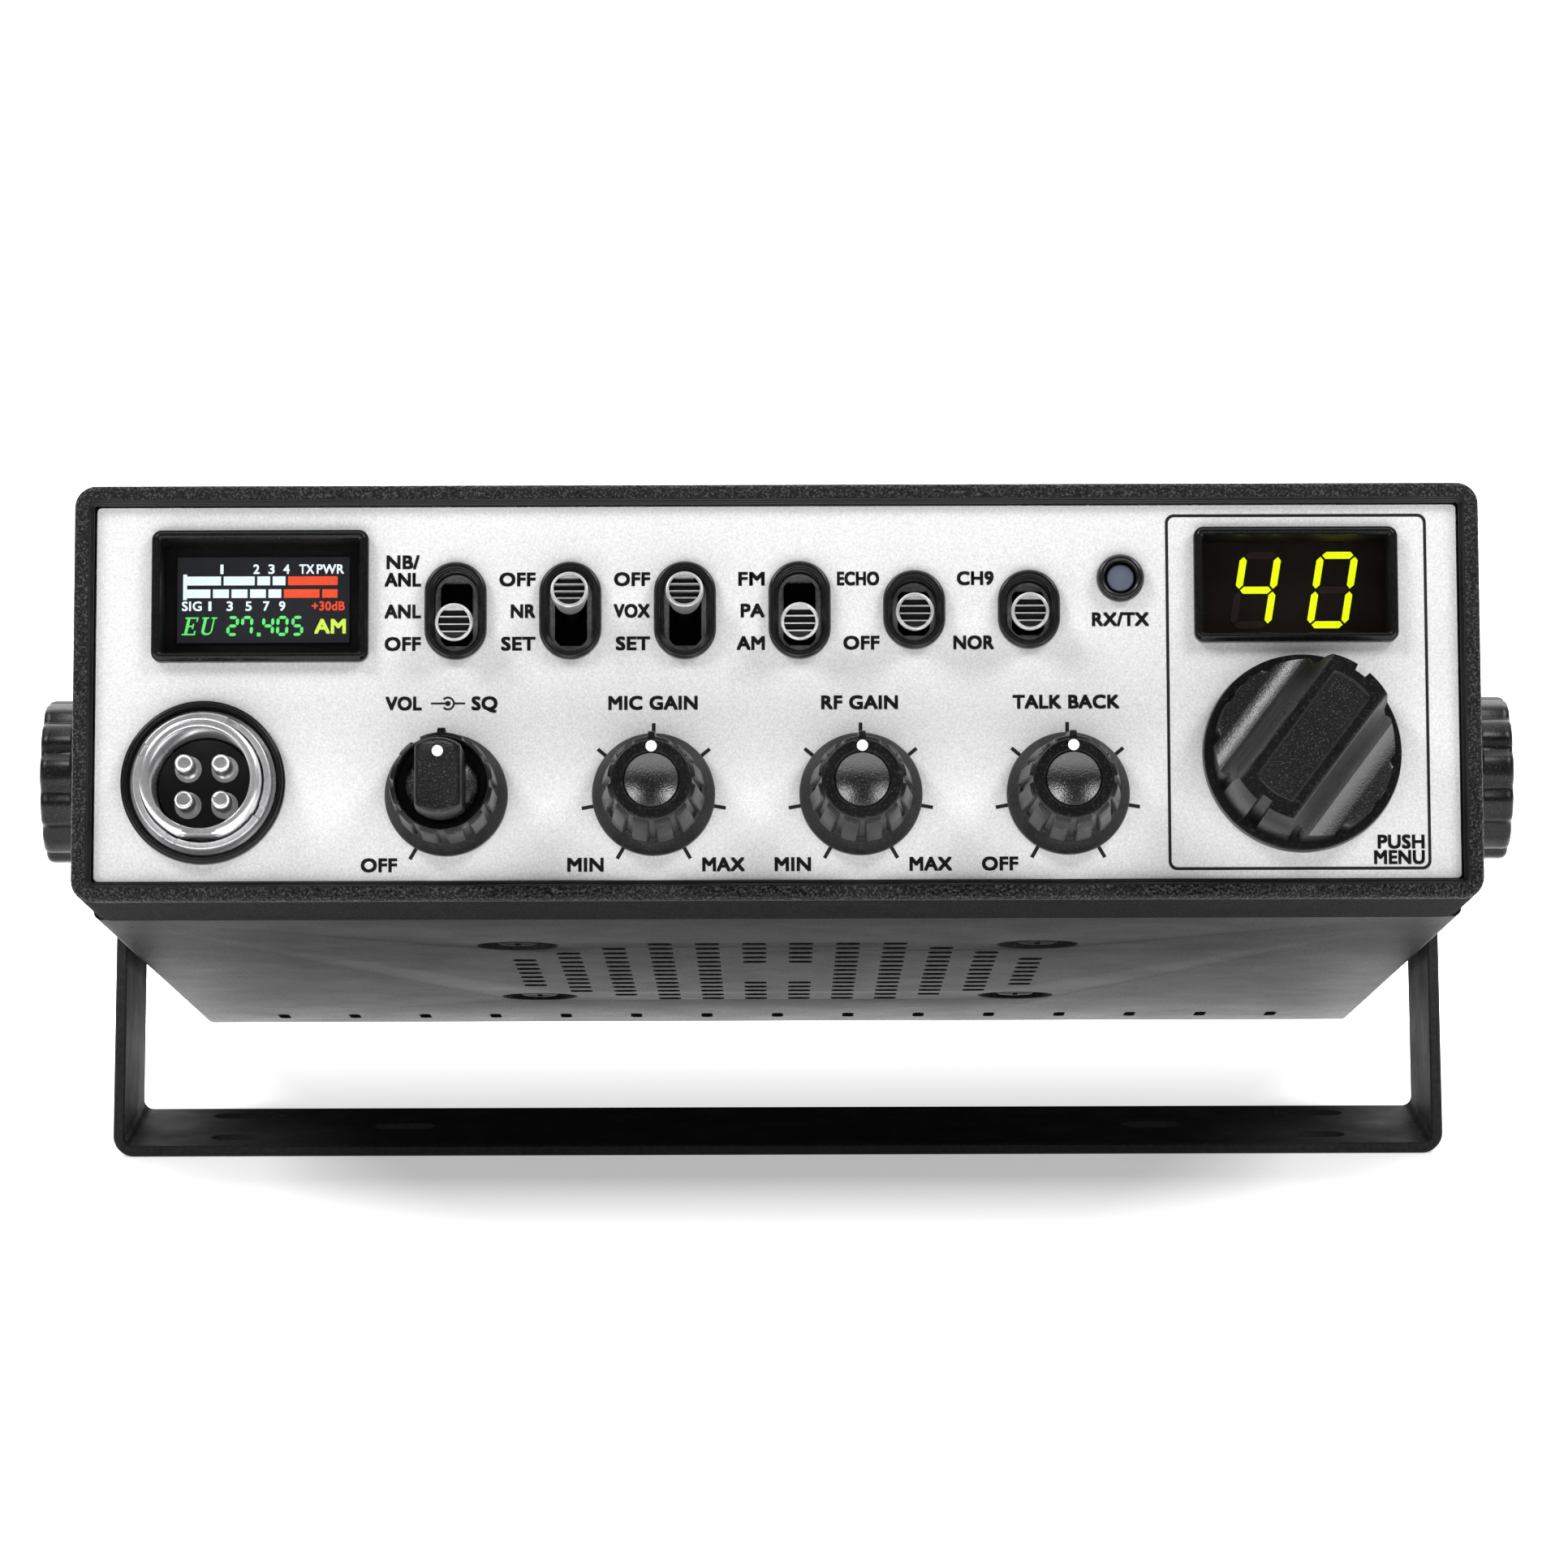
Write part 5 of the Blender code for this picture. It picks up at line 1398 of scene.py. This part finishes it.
def floor():
    """A wide white sheet that curves up far behind the radio. It glows as if lit through from behind; its
    glow is painted lower under the bracket's front edge, a painted shadow, and painted higher in a band
    behind the radio, painted light which the underside mirrors."""
    bm = bmesh.new()
    half, near_end, bend_start, bend, top, steps = 8.0, -4.0, 3.0, 2.0, 6.0, 12
    profile = [(near_end, 0.0), (bend_start, 0.0)]
    turns = [math.pi / 2 * i / steps for i in range(1, steps + 1)]
    profile += [(bend_start + bend * math.sin(a), bend - bend * math.cos(a)) for a in turns]
    profile.append((bend_start + bend, top))
    rows = [[bm.verts.new((x, y, z)) for x in (-half, half)] for y, z in profile]
    for near, far in zip(rows, rows[1:]):
        bm.faces.new([near[0], near[1], far[1], far[0]])
    mesh = bpy.data.meshes.new("floor")
    bm.to_mesh(mesh)
    bm.free()
    mesh.shade_smooth()
    paper = surface("floor_paper_painted_shadow", 0.88, 0.9, 0.8, relief=0.0, specular=0.1)
    tree = paper.node_tree
    shader = set_inputs(tree.nodes["Principled BSDF"], Emission_Color=colour(1.0))
    depth = on_piece(tree, new_node(tree, "SeparateXYZ"), "Y")

    def ramp(before, after, start, end):
        """A level that changes between two distances behind the radio's pivot, in metres."""
        return span_of(tree, depth, before, after, start, end)

    def joined(operation, first, second):
        step = new_node(tree, "Math")
        step.operation = operation
        tree.links.new(first, step.inputs[0])
        tree.links.new(second, step.inputs[1])
        return step.outputs["Value"]

    dim, full, bright = 0.45, 1.0, 2.4
    # Painted shadow along the bracket's front edge, and a painted band of extra glow behind the radio for the
    # underside to mirror.
    shadow = joined("MAXIMUM", ramp(full, dim, -0.065, -0.03), ramp(dim, full, -0.01, 0.06))
    band = joined("MULTIPLY", ramp(1.0, bright, 0.055, 0.1), ramp(1.0, 1.0 / bright, 0.16, 0.3))
    tree.links.new(joined("MULTIPLY", shadow, band), shader.inputs["Emission Strength"])
    mesh.materials.append(paper)
    sheet = bpy.data.objects.new("floor", mesh)
    bpy.context.collection.objects.link(sheet)


def softbox(name, place, aim, width, height, power):
    """A rectangular lamp that faces a point."""
    light = bpy.data.lights.new(name, "AREA")
    light.shape = "RECTANGLE"
    light.size = width
    light.size_y = height
    light.energy = power
    lamp_object = bpy.data.objects.new(name, light)
    lamp_object.location = place
    lamp_object.rotation_euler = (Vector(aim) - Vector(place)).to_track_quat("-Z", "Y").to_euler()
    bpy.context.collection.objects.link(lamp_object)


def studio():
    world = bpy.data.worlds.new("studio")
    world.use_nodes = True
    set_inputs(world.node_tree.nodes["Background"], Color=colour(1.0), Strength=0.14)
    bpy.context.scene.world = world
    bpy.context.scene.view_settings.view_transform = "Standard"
    middle = (0.0, 0.0, 0.06)
    softbox("upper_left", (-0.8, -0.5, 1.0), middle, 0.4, 0.4, 9.0)
    softbox("upper_right", (0.8, -0.5, 1.0), middle, 0.4, 0.4, 9.0)
    softbox("overhead", (0.0, 0.7, 1.6), (0.0, 0.3, 0.0), 2.4, 1.6, 36.0)
    softbox("behind", (0.0, 3.0, 2.2), (0.0, 3.0, 0.0), 6.0, 1.8, 60.0)


def camera():
    """The photograph's view: a long lens, a little above the radio and looking down at it."""
    lens = bpy.data.cameras.new("camera")
    lens.lens = 137.674
    lens.sensor_width = 36.0
    lens.clip_end = 50.0
    eye = bpy.data.objects.new("camera", lens)
    place = Matrix.Translation((-0.000427, -0.876135, 0.173591))
    heading = Matrix.Rotation(math.radians(-0.0954), 4, "Z")
    pitch = Matrix.Rotation(math.radians(-7.8496), 4, "X")
    roll = Matrix.Rotation(math.radians(0.1536), 4, "Y")
    eye.matrix_world = place @ heading @ pitch @ roll @ Matrix.Rotation(math.pi / 2, 4, "X")
    bpy.context.collection.objects.link(eye)
    bpy.context.scene.camera = eye


def main():
    bezel()
    panel()
    printing()
    cover("top_cover", True)
    cover("bottom_cover", False)
    bottom_screws()
    bracket()
    side_knobs()
    display_frame("tft_frame", (26.2, 15.4))
    display_frame("channel_frame", (24.5, 13.3))
    display_lens("tft_lens")
    display_lens("channel_lens")
    module("tft_module", DULL_BLACK_AND_SHADE)
    module("digit_module", DARK_FACE)
    colour_picture()
    channel_digits()
    lamp()
    for name in SWITCHES:
        switch_trim(name)
        lever(name)
    microphone_socket()
    for name in GAIN_KNOBS:
        gain_knob(name)
    squelch_ring()
    volume_knob()
    channel_knob()
    dress_cad_nodes()
    floor()
    studio()
    camera()


main()
